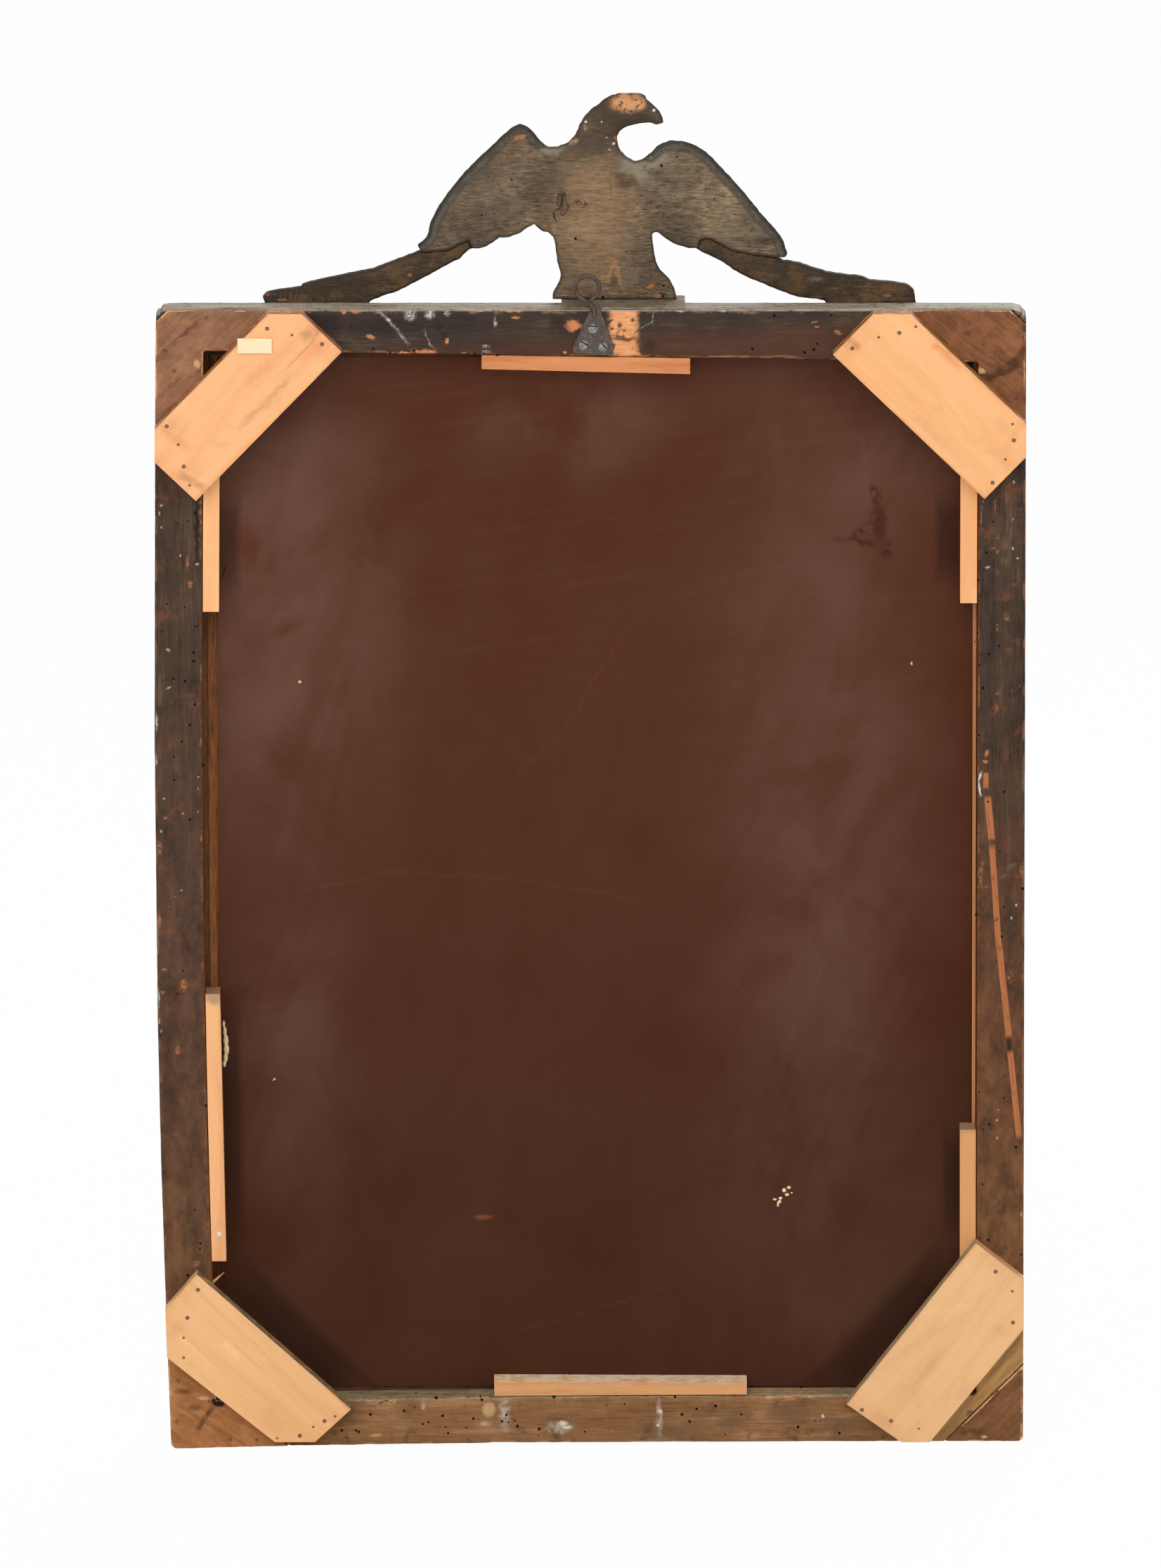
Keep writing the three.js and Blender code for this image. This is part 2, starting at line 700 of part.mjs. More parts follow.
const eagleHeadOutline = [
  [25.5, 121.4], [17.4, 125], [12.2, 131.1], [8.1, 140.6], [1.1, 151.1], [-3.8, 154.1],
  [-10.3, 159.4], [-19.5, 163.9], [-29.8, 164.1], [-40.1, 163.3], [-42.9, 159.4],
  [-49.4, 152.8], [-54.8, 145], [-55.6, 139.5], [-51, 137], [-44.5, 138.3],
  [-32.5, 136.7], [-23.3, 132.8], [-20.1, 126.1], [-22, 117.8], [-26, 112.3],
];

const leftSprayOutline = [
  [252.8, 3.2], [249, 7.1], [236, 9.2], [223, 10.7], [220.3, 13.8], [198.6, 18.8],
  [167.1, 24.9], [155.7, 29.9], [133.5, 38.7], [120, 45], [104, 50], [93.6, 48],
  [93.3, 42], [101.4, 33.7], [111.2, 28.7], [129.7, 18.2], [148.1, 8.8], [168.7, 1],
];

const rightSprayOutline = [
  [-84.6, 41], [-84.4, 47], [-96, 52], [-112, 48], [-130, 41], [-148.6, 31.5],
  [-159.5, 29.9], [-171.2, 26], [-181.2, 22.6], [-197.7, 20.4], [-207.8, 19.3],
  [-215.4, 16], [-227.8, 15.4], [-240.9, 13.5], [-245.8, 11], [-249, 6.6], [-251.2, 1],
];
const rightSprayUnderside = [
  [-178.5, 1], [-159.5, 3.8], [-148.1, 7.7], [-134, 13.4], [-114.5, 22.1],
  [-102.3, 30.4], [-94.9, 34.3],
];

// A smooth closed outline through the given points, with each stretch curved by itself.
function smoothed(points, perSpan = 2) {
  const curve = new THREE.SplineCurve(points.map(([x, z]) => new THREE.Vector2(x, z)));
  return curve.getPoints((points.length - 1) * perSpan).map((p) => [p.x, p.y]);
}

// A carved flat piece with its edges taken off, its widest outline a hair inside the
// drawn one.
function carved(outline, backY, thickness, edge = carvedEdge) {
  return slab(counterClockwise(outline), backY - edge, thickness - 2 * edge, {
    bevelEnabled: true, bevelSegments: 2, bevelThickness: edge, bevelSize: edge,
    bevelOffset: -edge - fitGap / 2,
  });
}

const raised = (outline, base) => outline.map(([x, height]) => [x, base + height]);

// The eagle stands on a thin board that is rebated over the top rail.
const plinthSection = new THREE.Shape([
  [0, frameHeight], [0, plinthTop], [-plinthFront, plinthTop], [-plinthFront, mouldingTop],
  [mouldingBackY, mouldingTop], [mouldingBackY, frameHeight],
].map(([y, z]) => new THREE.Vector2(y, z)));
const plinthBoard = new THREE.ExtrudeGeometry(plinthSection, {
  depth: plinthLeft - plinthRight, bevelEnabled: false,
});
plinthBoard.applyMatrix4(new THREE.Matrix4().makeBasis(
  new THREE.Vector3(0, 1, 0), new THREE.Vector3(0, 0, 1), new THREE.Vector3(1, 0, 0)));
plinthBoard.translate(plinthRight, 0, 0);
const plinthHoles = dowelPlaces.map((x) => post(
  x, dowelY, mouldingTop - 1, plinthTop + 1, dowelDiameter / 2 + fitGap));
addPiece('crest_plinth', cut(plinthBoard, ...plinthHoles), carvedWood);

const boardOutline = raised([
  ...smoothed(eagleBoardOutline.rightShoulder), ...smoothed(eagleBoardOutline.rightNotch),
  ...smoothed(eagleBoardOutline.leftFoot), ...smoothed(eagleBoardOutline.leftWing),
], plinthTop);
const eagleHoles = dowelPlaces.map((x) => post(
  x, dowelY, plinthTop - 1, plinthTop + dowelInEagle + fitGap, dowelDiameter / 2 + fitGap));
const eagleBoard = cut(carved(boardOutline, crestBackY, eagleBoardThickness), ...eagleHoles);
addPiece('eagle_back_board', eagleBoard, carvedWood);

const headOutline = raised(eagleHeadOutline, plinthTop);
addPiece('eagle_head', carved(
  headOutline, crestBackY + 2, eagleHeadThickness, headEdge), carvedWood);

for (const [i, x] of dowelPlaces.entries()) {
  addPiece(`crest_dowel_${i + 1}`, post(
    x, dowelY, mouldingTop - dowelInMoulding, plinthTop + dowelInEagle, dowelDiameter / 2),
  oldBareWood);
}

// The breast and thighs are a block carved in the round, glued to the front of the board.
// Its profile is [share of its greatest radius, height above the plinth].
const breastProfile = [
  [0, 0], [0.55, 0], [0.68, 8], [0.61, 20], [0.77, 34], [0.97, 54], [1, 70], [0.87, 90],
  [0.65, 104], [0, 111],
].map(([share, height]) => new THREE.Vector2(share, height));
const breast = new THREE.LatheGeometry(breastProfile, 24);
breast.rotateX(Math.PI / 2);
breast.scale(breastWidth / 2, breastDepth, 1);
breast.translate(breastX, eagleFrontY - fitGap, plinthTop);
const frontOfBoard = new THREE.BoxGeometry(2 * breastWidth, 2 * breastDepth, frameHeight);
frontOfBoard.translate(breastX, eagleFrontY - fitGap - breastDepth, frameHeight);
addPiece('eagle_breast', keepInside(breast, frontOfBoard), carvedWood);

// Leaf sprays stand on the shoulder of the moulding and are lapped over the wing tips.
const sprayBackY = -carcaseDepth - sprayBackSetback;
const wingCutter = () => slab(
  counterClockwise(boardOutline), crestBackY + fitGap, eagleBoardThickness + 2 * fitGap);

function leafSpray(outline) {
  const body = carved(raised(outline, frameHeight), sprayBackY, sprayThickness);
  return cut(body, wingCutter());
}

const foot = -mouldingSetback + jointGap;
addPiece('leaf_spray_left', leafSpray([
  ...leftSprayOutline, [170, foot], [252.5, foot],
]), carvedLeafWood);
addPiece('leaf_spray_right', leafSpray([
  ...rightSprayOutline, [-251, foot], [-180, foot],
  ...rightSprayUnderside,
]), carvedLeafWood);

// ---------------------------------------------------------------- iron hanger

// A bar of varying radius along a path, closed at both ends.
function forgedBar(points, radiusAt, steps, sideCount) {
  const curve = new THREE.CatmullRomCurve3(points.map((p) => new THREE.Vector3(...p)));
  const frames = curve.computeFrenetFrames(steps, false);
  const positions = [];
  const section = [];
  for (let k = 0; k < sideCount; k += 1) {
    const angle = (k / sideCount) * 2 * Math.PI;
    section.push(new THREE.Vector2(Math.cos(angle), Math.sin(angle)));
  }
  for (let i = 0; i <= steps; i += 1) {
    const centre = curve.getPointAt(i / steps);
    for (const { x, y } of section) {
      const r = radiusAt(i / steps);
      const p = centre.clone()
        .addScaledVector(frames.normals[i], x * r)
        .addScaledVector(frames.binormals[i], y * r);
      positions.push(p.x, p.y, p.z);
    }
  }
  return loftedRings(positions, section, steps);
}

// The strand leaves the neck of the plate, goes once round the loop and ends in a drawn
// out tip, which lies over its own root.
function loopStrand() {
  const ringSteps = 12;
  const ring = arcPoints(loopX, loopZ, loopRadius, loopStart, loopEnd, ringSteps).map(
    ([x, z], i) => [x, rodY + (i / ringSteps) * loopLean, z]);
  const root = [loopX - 5.5, rodY, frameHeight - 6];
  const neck = [loopX - 4.5, rodY, frameHeight + 2.5];
  const tip = [loopX - 1, rodY + loopLean + fitGap, loopZ - loopRadius - 1.5];
  return forgedBar([root, neck, ...ring, tip],
    (t) => (rodDiameter / 2) * (t < 0.8 ? 1 : 1 - (t - 0.8) * 2.4), 48, 8);
}

function hangerPlate() {
  const outline = [
    [13.6, -28.4], [13.6, -33.4], [-16.8, -35.6], [-17.4, -27.3], [-7.5, -1], [-7, 4.5],
    [-4.6, 3.6], [-3.4, 0], [1.6, -1.5],
  ].map(([x, rise]) => [x, frameHeight + rise]);
  const plateSolid = slab(counterClockwise(outline), hangerPlateThickness, hangerPlateThickness);
  return join(cut(plateSolid, ...screwPlaces.map(screwHole)), loopStrand());
}
addPiece('hanger', hangerPlate(), forgedIron);

// Round-headed slotted screws, with their heads seated on the plate.
function slottedScrew({ x, drop, slotAngle }) {
  const headRadius = screwHeadDiameter / 2;
  const shank = screwShankDiameter / 2;
  const profile = [
    [0, -screwLength], [shank * 0.3, -screwLength], [shank, -screwLength + 4], [shank, 0],
    [headRadius, 0], [headRadius, screwHeadRise * 0.3], [headRadius * 0.7, screwHeadRise * 0.9],
    [0, screwHeadRise],
  ].map(([radius, y]) => new THREE.Vector2(radius, y));
  const body = new THREE.LatheGeometry(profile, 16);
  const slot = new THREE.BoxGeometry(screwHeadDiameter * 2, screwSlotDepth * 2, screwSlotWidth);
  slot.translate(0, screwHeadRise, 0);
  slot.rotateY(THREE.MathUtils.degToRad(slotAngle));
  const screw = cut(body, slot);
  const place = racked(x, frameHeight - drop);
  screw.translate(place.x, hangerPlateThickness, place.y);
  return screw;
}

screwPlaces.forEach((place, i) => addPiece(`hanger_screw_${i + 1}`, slottedScrew(place), steel));

export default mirror;
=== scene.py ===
# %% [markdown]
# # An old girandole mirror, seen from behind
#
# This lesson dresses a drawn mirror frame in Blender. The drawing gives every piece its
# true size and place. What is added here is what years of use add: stained and worn wood,
# new battens, iron, a painted glass, and the carving and gilding of the front.
#
# Each cell can be run on its own after the ones above it.

import json
import math

import bmesh
import bpy
import numpy as np
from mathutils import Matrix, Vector
from mathutils.geometry import delaunay_2d_cdt

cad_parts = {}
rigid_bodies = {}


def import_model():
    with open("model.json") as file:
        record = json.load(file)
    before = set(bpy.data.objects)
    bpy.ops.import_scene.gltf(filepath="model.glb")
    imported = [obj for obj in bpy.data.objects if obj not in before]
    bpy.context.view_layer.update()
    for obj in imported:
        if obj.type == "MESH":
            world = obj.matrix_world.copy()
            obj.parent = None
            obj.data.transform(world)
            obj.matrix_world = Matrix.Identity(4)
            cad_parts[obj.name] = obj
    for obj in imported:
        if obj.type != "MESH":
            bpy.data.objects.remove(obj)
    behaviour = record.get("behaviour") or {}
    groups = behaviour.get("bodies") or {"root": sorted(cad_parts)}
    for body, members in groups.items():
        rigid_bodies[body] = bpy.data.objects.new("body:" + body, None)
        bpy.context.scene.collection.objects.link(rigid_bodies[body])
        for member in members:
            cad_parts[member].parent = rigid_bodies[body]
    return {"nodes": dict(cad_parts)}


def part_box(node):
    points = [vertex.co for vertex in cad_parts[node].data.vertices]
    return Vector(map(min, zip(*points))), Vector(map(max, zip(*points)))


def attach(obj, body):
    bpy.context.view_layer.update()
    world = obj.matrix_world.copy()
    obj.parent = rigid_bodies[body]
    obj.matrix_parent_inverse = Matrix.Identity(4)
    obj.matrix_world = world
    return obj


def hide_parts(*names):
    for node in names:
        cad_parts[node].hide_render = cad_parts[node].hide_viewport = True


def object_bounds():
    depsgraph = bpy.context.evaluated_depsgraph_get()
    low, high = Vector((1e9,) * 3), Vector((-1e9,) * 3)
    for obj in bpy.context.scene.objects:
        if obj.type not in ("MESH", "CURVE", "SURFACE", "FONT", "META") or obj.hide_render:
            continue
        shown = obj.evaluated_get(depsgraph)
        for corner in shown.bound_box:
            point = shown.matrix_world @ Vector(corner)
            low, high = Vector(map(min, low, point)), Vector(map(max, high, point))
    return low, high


for left_over in list(bpy.data.objects):
    bpy.data.objects.remove(left_over)
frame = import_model()
drawn_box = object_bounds()
scene = bpy.context.scene
print("drawn pieces:", len(frame["nodes"]))

# %% [markdown]
# ## Two ways to measure
#
# Blender works in metres from the eye of the hanging loop. A joiner measures the frame in
# millimetres from under the middle of its bottom rail, with the back of the rails as zero
# depth. The helper below turns the joiner's numbers into Blender's.

# %% The joiner's millimetres
LOOP_FROM_FRAME = (3.0, 3.0385, 919.5)
MM = 0.001
FRAME_HEIGHT = 894.0


def metres(x, y, z):
    """The place of a point that was measured on the frame in millimetres."""
    return Vector((x - LOOP_FROM_FRAME[0], y - LOOP_FROM_FRAME[1], z - LOOP_FROM_FRAME[2])) * MM


def drawn_limits(node):
    """A drawn piece's lowest and highest corners, in the joiner's millimetres."""
    low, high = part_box(node)
    offset = Vector(LOOP_FROM_FRAME)
    return low / MM + offset, high / MM + offset


print("the glass lies between", *[tuple(round(v, 1) for v in p) for p in drawn_limits("mirror_plate")])

# %% [markdown]
# ## The room and the camera
#
# The mirror is photographed from behind with a long lens, from a little above. A long lens
# keeps the frame's sides parallel, so the camera stands far away. Its aim is the middle of
# the picture.

# %% Camera
CAMERA_DISTANCE = 25.0
CAMERA_RISE = math.radians(12)
PICTURE_HEIGHT = 1.2103
SENSOR = 36.0

camera = bpy.data.objects.new("camera", bpy.data.cameras.new("camera"))
scene.collection.objects.link(camera)
camera.data.sensor_width = SENSOR
camera.data.lens = SENSOR * CAMERA_DISTANCE / PICTURE_HEIGHT
camera.data.clip_end = 200
aim = metres(8.1, 0, 521.1)
towards_camera = Vector((0, math.cos(CAMERA_RISE), math.sin(CAMERA_RISE)))
camera.location = aim + CAMERA_DISTANCE * towards_camera
camera.rotation_euler = towards_camera.to_track_quat("Z", "Y").to_euler()
scene.camera = camera
scene.view_settings.view_transform = "Standard"
print("lens", round(camera.data.lens), "mm")

# %% [markdown]
# ## Sums with shader sockets
#
# A finish is a sum of many small things: grain, stains, scratches, holes. Writing such a
# sum with nodes and links by hand is hard to read. Here a socket is wrapped in a class that
# knows plus, minus and times, so a mask can be written as `1 - stain * grain`.

# %% A value that varies over a surface
class Value:
    """The output socket of a node, which can be used in sums."""

    def __init__(self, graph, socket):
        self.graph = graph
        self.socket = socket

    def maths(self, operation, *others):
        return self.graph.node("ShaderNodeMath", {"operation": operation}, dict(enumerate((self, *others))))

    def __add__(self, other):
        return self.maths("ADD", other)

    __radd__ = __add__

    def __mul__(self, other):
        return self.maths("MULTIPLY", other)

    __rmul__ = __mul__

    def __sub__(self, other):
        return self.maths("SUBTRACT", other)

    def __rsub__(self, other):
        return (self * -1) + other

    def __truediv__(self, other):
        return self.maths("DIVIDE", other)

    def highest(self, other):
        return self.maths("MAXIMUM", other)

    def lowest(self, other):
        return self.maths("MINIMUM", other)

    def between(self, start, end):
        """0 before start and 1 after end, with a soft step from one to the other."""
        settings = {"interpolation_type": "SMOOTHSTEP"}
        return self.graph.node("ShaderNodeMapRange", settings, {"Value": self, "From Min": start, "From Max": end})


class Graph:
    """A node tree that is filled in by one method."""

    def __init__(self, tree):
        self.tree = tree

    def node(self, kind, settings=None, sockets=None, out=0):
        """Adds a node. Its settings come first, because they decide which sockets it has."""
        node = self.tree.nodes.new(kind)
        for name, value in (settings or {}).items():
            setattr(node, name, value)
        for key, value in (sockets or {}).items():
            if isinstance(value, Value):
                self.tree.links.new(value.socket, node.inputs[key])
            else:
                node.inputs[key].default_value = value
        return Value(self, node.outputs[out] if len(node.outputs) else None)


def paint(red, green, blue):
    """A colour as it is seen, from 0 to 255, turned into the light that Blender counts in."""
    def light(level):
        level /= 255
        return level / 12.92 if level <= 0.04045 else ((level + 0.055) / 1.055) ** 2.4
    return (light(red), light(green), light(blue), 1.0)


print("middle grey is", round(paint(128, 128, 128)[0], 3))

# %% [markdown]
# ## A finish
#
# Every finish is a Principled shader that looks up its pattern by place. The place is in
# the joiner's millimetres, so a stain that was measured on the frame is written down with
# the same numbers. No finish needs an image.

# %% The finish class
class Finish(Graph):
    """A material with a Principled shader, and patterns measured in millimetres."""

    def __init__(self, name, roughness=0.6, metallic=0.0, **fixed):
        self.material = bpy.data.materials.new(name)
        self.material.use_nodes = True
        super().__init__(self.material.node_tree)
        self.tree.nodes.clear()
        self.output = self.tree.nodes.new("ShaderNodeOutputMaterial")
        self.shader = self.tree.nodes.new("ShaderNodeBsdfPrincipled")
        self.tree.links.new(self.shader.outputs[0], self.output.inputs["Surface"])
        self.shader.inputs["Roughness"].default_value = roughness
        self.shader.inputs["Metallic"].default_value = metallic
        for key, value in fixed.items():
            self.shader.inputs[key.replace("_", " ")].default_value = value
        local = self.node("ShaderNodeTexCoord", out=3)
        self.place = self.node("ShaderNodeMapping", None, {
            "Vector": local, "Location": LOOP_FROM_FRAME, "Scale": (1 / MM,) * 3})
        wander = self.node("ShaderNodeTexNoise", None, {"Vector": self.place, "Scale": 0.16, "Detail": 3.0}, out=1)
        wander = self.vector("SUBTRACT", wander, (0.5, 0.5, 0.5))
        self.ragged = self.vector("MULTIPLY_ADD", wander, (9.0, 0.0, 9.0), self.place)
        shake = self.node("ShaderNodeTexNoise", None, {"Vector": self.place, "Scale": 0.6, "Detail": 3.0}, out=1)
        shake = self.vector("SUBTRACT", shake, (0.5, 0.5, 0.5))
        self.torn = self.vector("MULTIPLY_ADD", shake, (3.0, 0.0, 3.0), self.place)

    def vector(self, operation, *values, out=0):
        return self.node("ShaderNodeVectorMath", {"operation": operation}, dict(enumerate(values)), out)

    def along(self, axis, ragged=False):
        """One coordinate of the place, 0 for across, 1 for depth and 2 for height."""
        return self.node("ShaderNodeSeparateXYZ", None, {0: self.ragged if ragged else self.place}, out=axis)

    def facing(self, axis):
        """How much the surface faces along an axis."""
        normal = self.node("ShaderNodeNewGeometry", out=1)
        return self.node("ShaderNodeSeparateXYZ", None, {0: normal}, out=axis)

    def turned(self, angle, scale, source=None):
        """The place turned and scaled, to lay grain along a board that leans by an angle, as
        seen from behind."""
        turned = self.node("ShaderNodeMapping", None, {
            "Vector": source or self.place, "Rotation": (0, math.radians(-angle), 0)})
        return self.node("ShaderNodeMapping", None, {"Vector": turned, "Scale": scale})

    def noise(self, vector, scale=1.0, detail=4.0, rough=0.5, swirl=0.0):
        return self.node("ShaderNodeTexNoise", None, {
            "Vector": vector, "Scale": scale, "Detail": detail, "Roughness": rough, "Distortion": swirl})

    def cells(self, vector, scale=1.0, out=0):
        return self.node("ShaderNodeTexVoronoi", None, {"Vector": vector, "Scale": scale}, out)

    def mix(self, share, first, second):
        """From the first colour to the second, by a share from 0 to 1."""
        return self.node("ShaderNodeMix", {"data_type": "RGBA"}, {0: share, 6: first, 7: second}, out=2)

    def times(self, colour, shade):
        """A colour made darker or lighter by a value."""
        colour = colour if isinstance(colour, Value) else colour[:3]
        return self.node("ShaderNodeVectorMath", {"operation": "SCALE"}, {0: colour, 3: shade})

    def around(self, x, z, wide, high, turn, ragged):
        """The place as seen from a mark's middle, in units of the mark's half sizes. A large
        mark is pushed about more than a small one, to make its outline ragged."""
        moved = self.ragged if max(wide, high) > 6 else self.torn
        return self.node("ShaderNodeMapping", {"vector_type": "TEXTURE"}, {
            "Vector": moved if ragged else self.place, "Location": (x, 0, z),
            "Rotation": (0, math.radians(turn), 0), "Scale": (wide, 1e6, high)})

    def spot(self, x, z, wide, high, turn=0.0, soft=0.35, ragged=True):
        """A mask of one oval mark, given by its middle, its half sizes and its lean."""
        reach = self.vector("LENGTH", self.around(x, z, wide, high, turn, ragged), out=1)
        return 1 - reach.between(1 - soft, 1 + soft)

    def spots(self, marks, soft=0.35, ragged=True):
        """One mask for a list of oval marks."""
        return self.any_of([self.spot(*mark, soft=soft, ragged=ragged) for mark in marks])

    def bar(self, x, z, wide, high, turn=0.0, soft=0.2, ragged=False):
        """A mask of one straight-sided mark."""
        sides = self.vector("ABSOLUTE", self.around(x, z, wide, high, turn, ragged))
        across = self.node("ShaderNodeSeparateXYZ", None, {0: sides}, out=0)
        upwards = self.node("ShaderNodeSeparateXYZ", None, {0: sides}, out=2)
        return 1 - across.highest(upwards).between(1 - soft, 1 + soft)

    def line(self, start, end, width, soft=0.6, ragged=False):
        """A mask of a straight mark from one point to another."""
        (x0, z0), (x1, z1) = start, end
        length = math.hypot(x1 - x0, z1 - z0)
        turn = math.degrees(math.atan2(z1 - z0, x0 - x1))
        return self.bar((x0 + x1) / 2, (z0 + z1) / 2, length / 2, width / 2, turn, soft, ragged)

    def path(self, points, width, soft=0.6, ragged=False):
        """A mask of a mark that bends at each of its points."""
        return self.any_of([self.line(*ends, width, soft, ragged) for ends in zip(points, points[1:])])

    def kept(self, name):
        """A number that is kept with each point of the mesh."""
        return self.node("ShaderNodeAttribute", {"attribute_name": name}, out=2)

    def any_of(self, masks):
        """One mask for a list of them."""
        masks = list(masks)
        joined = masks[0]
        for mask in masks[1:]:
            joined = joined.highest(mask)
        return joined

    def feed(self, socket, value):
        self.tree.links.new(value.socket, self.shader.inputs[socket])

    def bump(self, height, strength=0.3, distance=0.0005):
        """Fine relief from a height in thousandths of a metre."""
        normal = self.node("ShaderNodeBump", None, {
            "Height": height, "Strength": strength, "Distance": distance})
        self.feed("Normal", normal)


def wear(finish, node):
    """Gives a drawn piece its finish."""
    slots = frame["nodes"][node].material_slots
    for slot in slots:
        slot.material = finish.material


# %% [markdown]
# ## Floor and light
#
# The floor and the sky are a plain white studio. Light Path tells the floor and the sky
# when the camera or a reflection looks at them, and then they show white without throwing
# more light on the mirror. One large lamp above the camera gives the battens their soft
# shadow.

# %% Studio
floor_level = drawn_box[0][2]
floor_mesh = bpy.data.meshes.new("floor")
reach = 45.0
floor_mesh.from_pydata(
    [(-reach, -reach, floor_level), (reach, -reach, floor_level), (reach, reach, floor_level), (-reach, reach, floor_level)],
    [], [(0, 1, 2, 3)])
floor = bpy.data.objects.new("floor", floor_mesh)
scene.collection.objects.link(floor)

floor_paint = bpy.data.materials.new("floor_paint")
floor_paint.use_nodes = True
studio = Graph(floor_paint.node_tree)
studio.tree.nodes.clear()
seen_by_camera = studio.node("ShaderNodeLightPath", out=0)
seen_by_gloss = studio.node("ShaderNodeLightPath", out=3)
seen_by_glass = studio.node("ShaderNodeLightPath", out=6)
looked_at = seen_by_camera.highest(seen_by_gloss).highest(seen_by_glass)
matt = studio.node("ShaderNodeBsdfDiffuse", None, {"Color": (0.85, 0.85, 0.85, 1)})
white = studio.node("ShaderNodeEmission", None, {"Color": (1, 1, 1, 1), "Strength": 1.0})
mixed = studio.node("ShaderNodeMixShader", None, {0: looked_at * 0.98, 1: matt, 2: white})
studio.node("ShaderNodeOutputMaterial", None, {"Surface": mixed})
floor_mesh.materials.append(floor_paint)

SKY_LEVEL = 0.52
world = bpy.data.worlds.new("studio_sky")
scene.world = world
world.use_nodes = True
sky = Graph(world.node_tree)
sky.tree.nodes.clear()
sky_seen = sky.node("ShaderNodeLightPath", out=0).highest(
    sky.node("ShaderNodeLightPath", out=3)).highest(sky.node("ShaderNodeLightPath", out=6))
background = sky.node("ShaderNodeBackground", None, {
    "Color": (1, 1, 1, 1), "Strength": sky_seen * (1 - SKY_LEVEL) + SKY_LEVEL})
sky.node("ShaderNodeOutputWorld", None, {"Surface": background})


def soft_lamp(name, place, size, power):
    """A square lamp that looks at the middle of the mirror."""
    lamp = bpy.data.objects.new(name, bpy.data.lights.new(name, "AREA"))
    lamp.data.shape = "SQUARE"
    lamp.data.size = size
    lamp.data.energy = power
    lamp.location = Vector(place)
    lamp.rotation_euler = (lamp.location - aim).to_track_quat("Z", "Y").to_euler()
    scene.collection.objects.link(lamp)
    return lamp


soft_lamp("key_lamp", (0.5, 4.2, 1.9), 4.6, 156)
soft_lamp("front_lamp", (-0.9, -2.4, 1.2), 1.2, 26)
print("the floor is at", round(floor_level, 4), "m")

# %% [markdown]
# ## A piece for the bench
#
# Most visible pieces are meshes that stand in for drawn ones. This helper puts such a mesh
# in the scene, gives it its finish, ties it to the frame's body and hides the drawn
# pieces it stands for.

# %% Helpers for meshes
def place_piece(name, mesh, finish, slot, *stands_for, smooth=True):
    piece = bpy.data.objects.new(name, mesh)
    scene.collection.objects.link(piece)
    mesh.materials.clear()
    mesh.materials.append(finish.material)
    for polygon in mesh.polygons:
        polygon.use_smooth = smooth
    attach(piece, "root")
    if stands_for:
        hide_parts(*stands_for)
    print(name, len(mesh.polygons), "faces")
    return piece


def finished(mesh, *modifiers):
    """The mesh that results from modifiers, given as (kind, settings)."""
    rough = bpy.data.objects.new("rough", mesh)
    scene.collection.objects.link(rough)
    for kind, settings in modifiers:
        modifier = rough.modifiers.new(kind.lower(), kind)
        for name, value in settings.items():
            setattr(modifier, name, value)
    shaped = bpy.data.meshes.new_from_object(rough.evaluated_get(bpy.context.evaluated_depsgraph_get()))
    bpy.data.objects.remove(rough)
    return shaped


def merged_copy(node):
    """A copy of a drawn piece's mesh with its loose triangles joined."""
    source = bmesh.new()
    source.from_mesh(frame["nodes"][node].data)
    bmesh.ops.remove_doubles(source, verts=source.verts, dist=2e-6)
    bmesh.ops.dissolve_limit(source, angle_limit=math.radians(0.6), verts=source.verts, edges=source.edges)
    mesh = bpy.data.meshes.new(node + "_copy")
    source.to_mesh(mesh)
    source.free()
    return mesh


def points_of(mesh):
    """A mesh's points as an array in the joiner's millimetres."""
    flat = np.empty(len(mesh.vertices) * 3)
    mesh.vertices.foreach_get("co", flat)
    return flat.reshape(-1, 3) / MM + np.array(LOOP_FROM_FRAME)


def move_points(mesh, points):
    flat = (points - np.array(LOOP_FROM_FRAME)) * MM
    mesh.vertices.foreach_set("co", flat.ravel())
    mesh.update()


# %% Smooth random values
def uneven(x, y, seed):
    """Random values from -1 to 1 that change smoothly over a plane, the same on each run."""
    column, row = np.floor(x), np.floor(y)
    u, v = x - column, y - row
    u, v = u * u * (3 - 2 * u), v * v * (3 - 2 * v)

    def corner(i, j):
        mixed_up = np.sin(i * 127.1 + j * 311.7 + seed * 74.7) * 43758.5453
        return (mixed_up - np.floor(mixed_up)) * 2 - 1

    low = corner(column, row) * (1 - u) + corner(column + 1, row) * u
    high = corner(column, row + 1) * (1 - u) + corner(column + 1, row + 1) * u
    return low * (1 - v) + high * v


print("a few random values:", np.round(uneven(np.arange(3) * 0.7, np.arange(3) * 0.3, 1), 2))

# %% [markdown]
# ## Things that repeat
#
# Nails, worm holes and beads are small and many. Geometry Nodes makes them: it takes a
# few points, sets one small shape on each, and turns the result into a plain mesh. The
# tree's sizes are named inputs, and its randomness has a fixed seed.

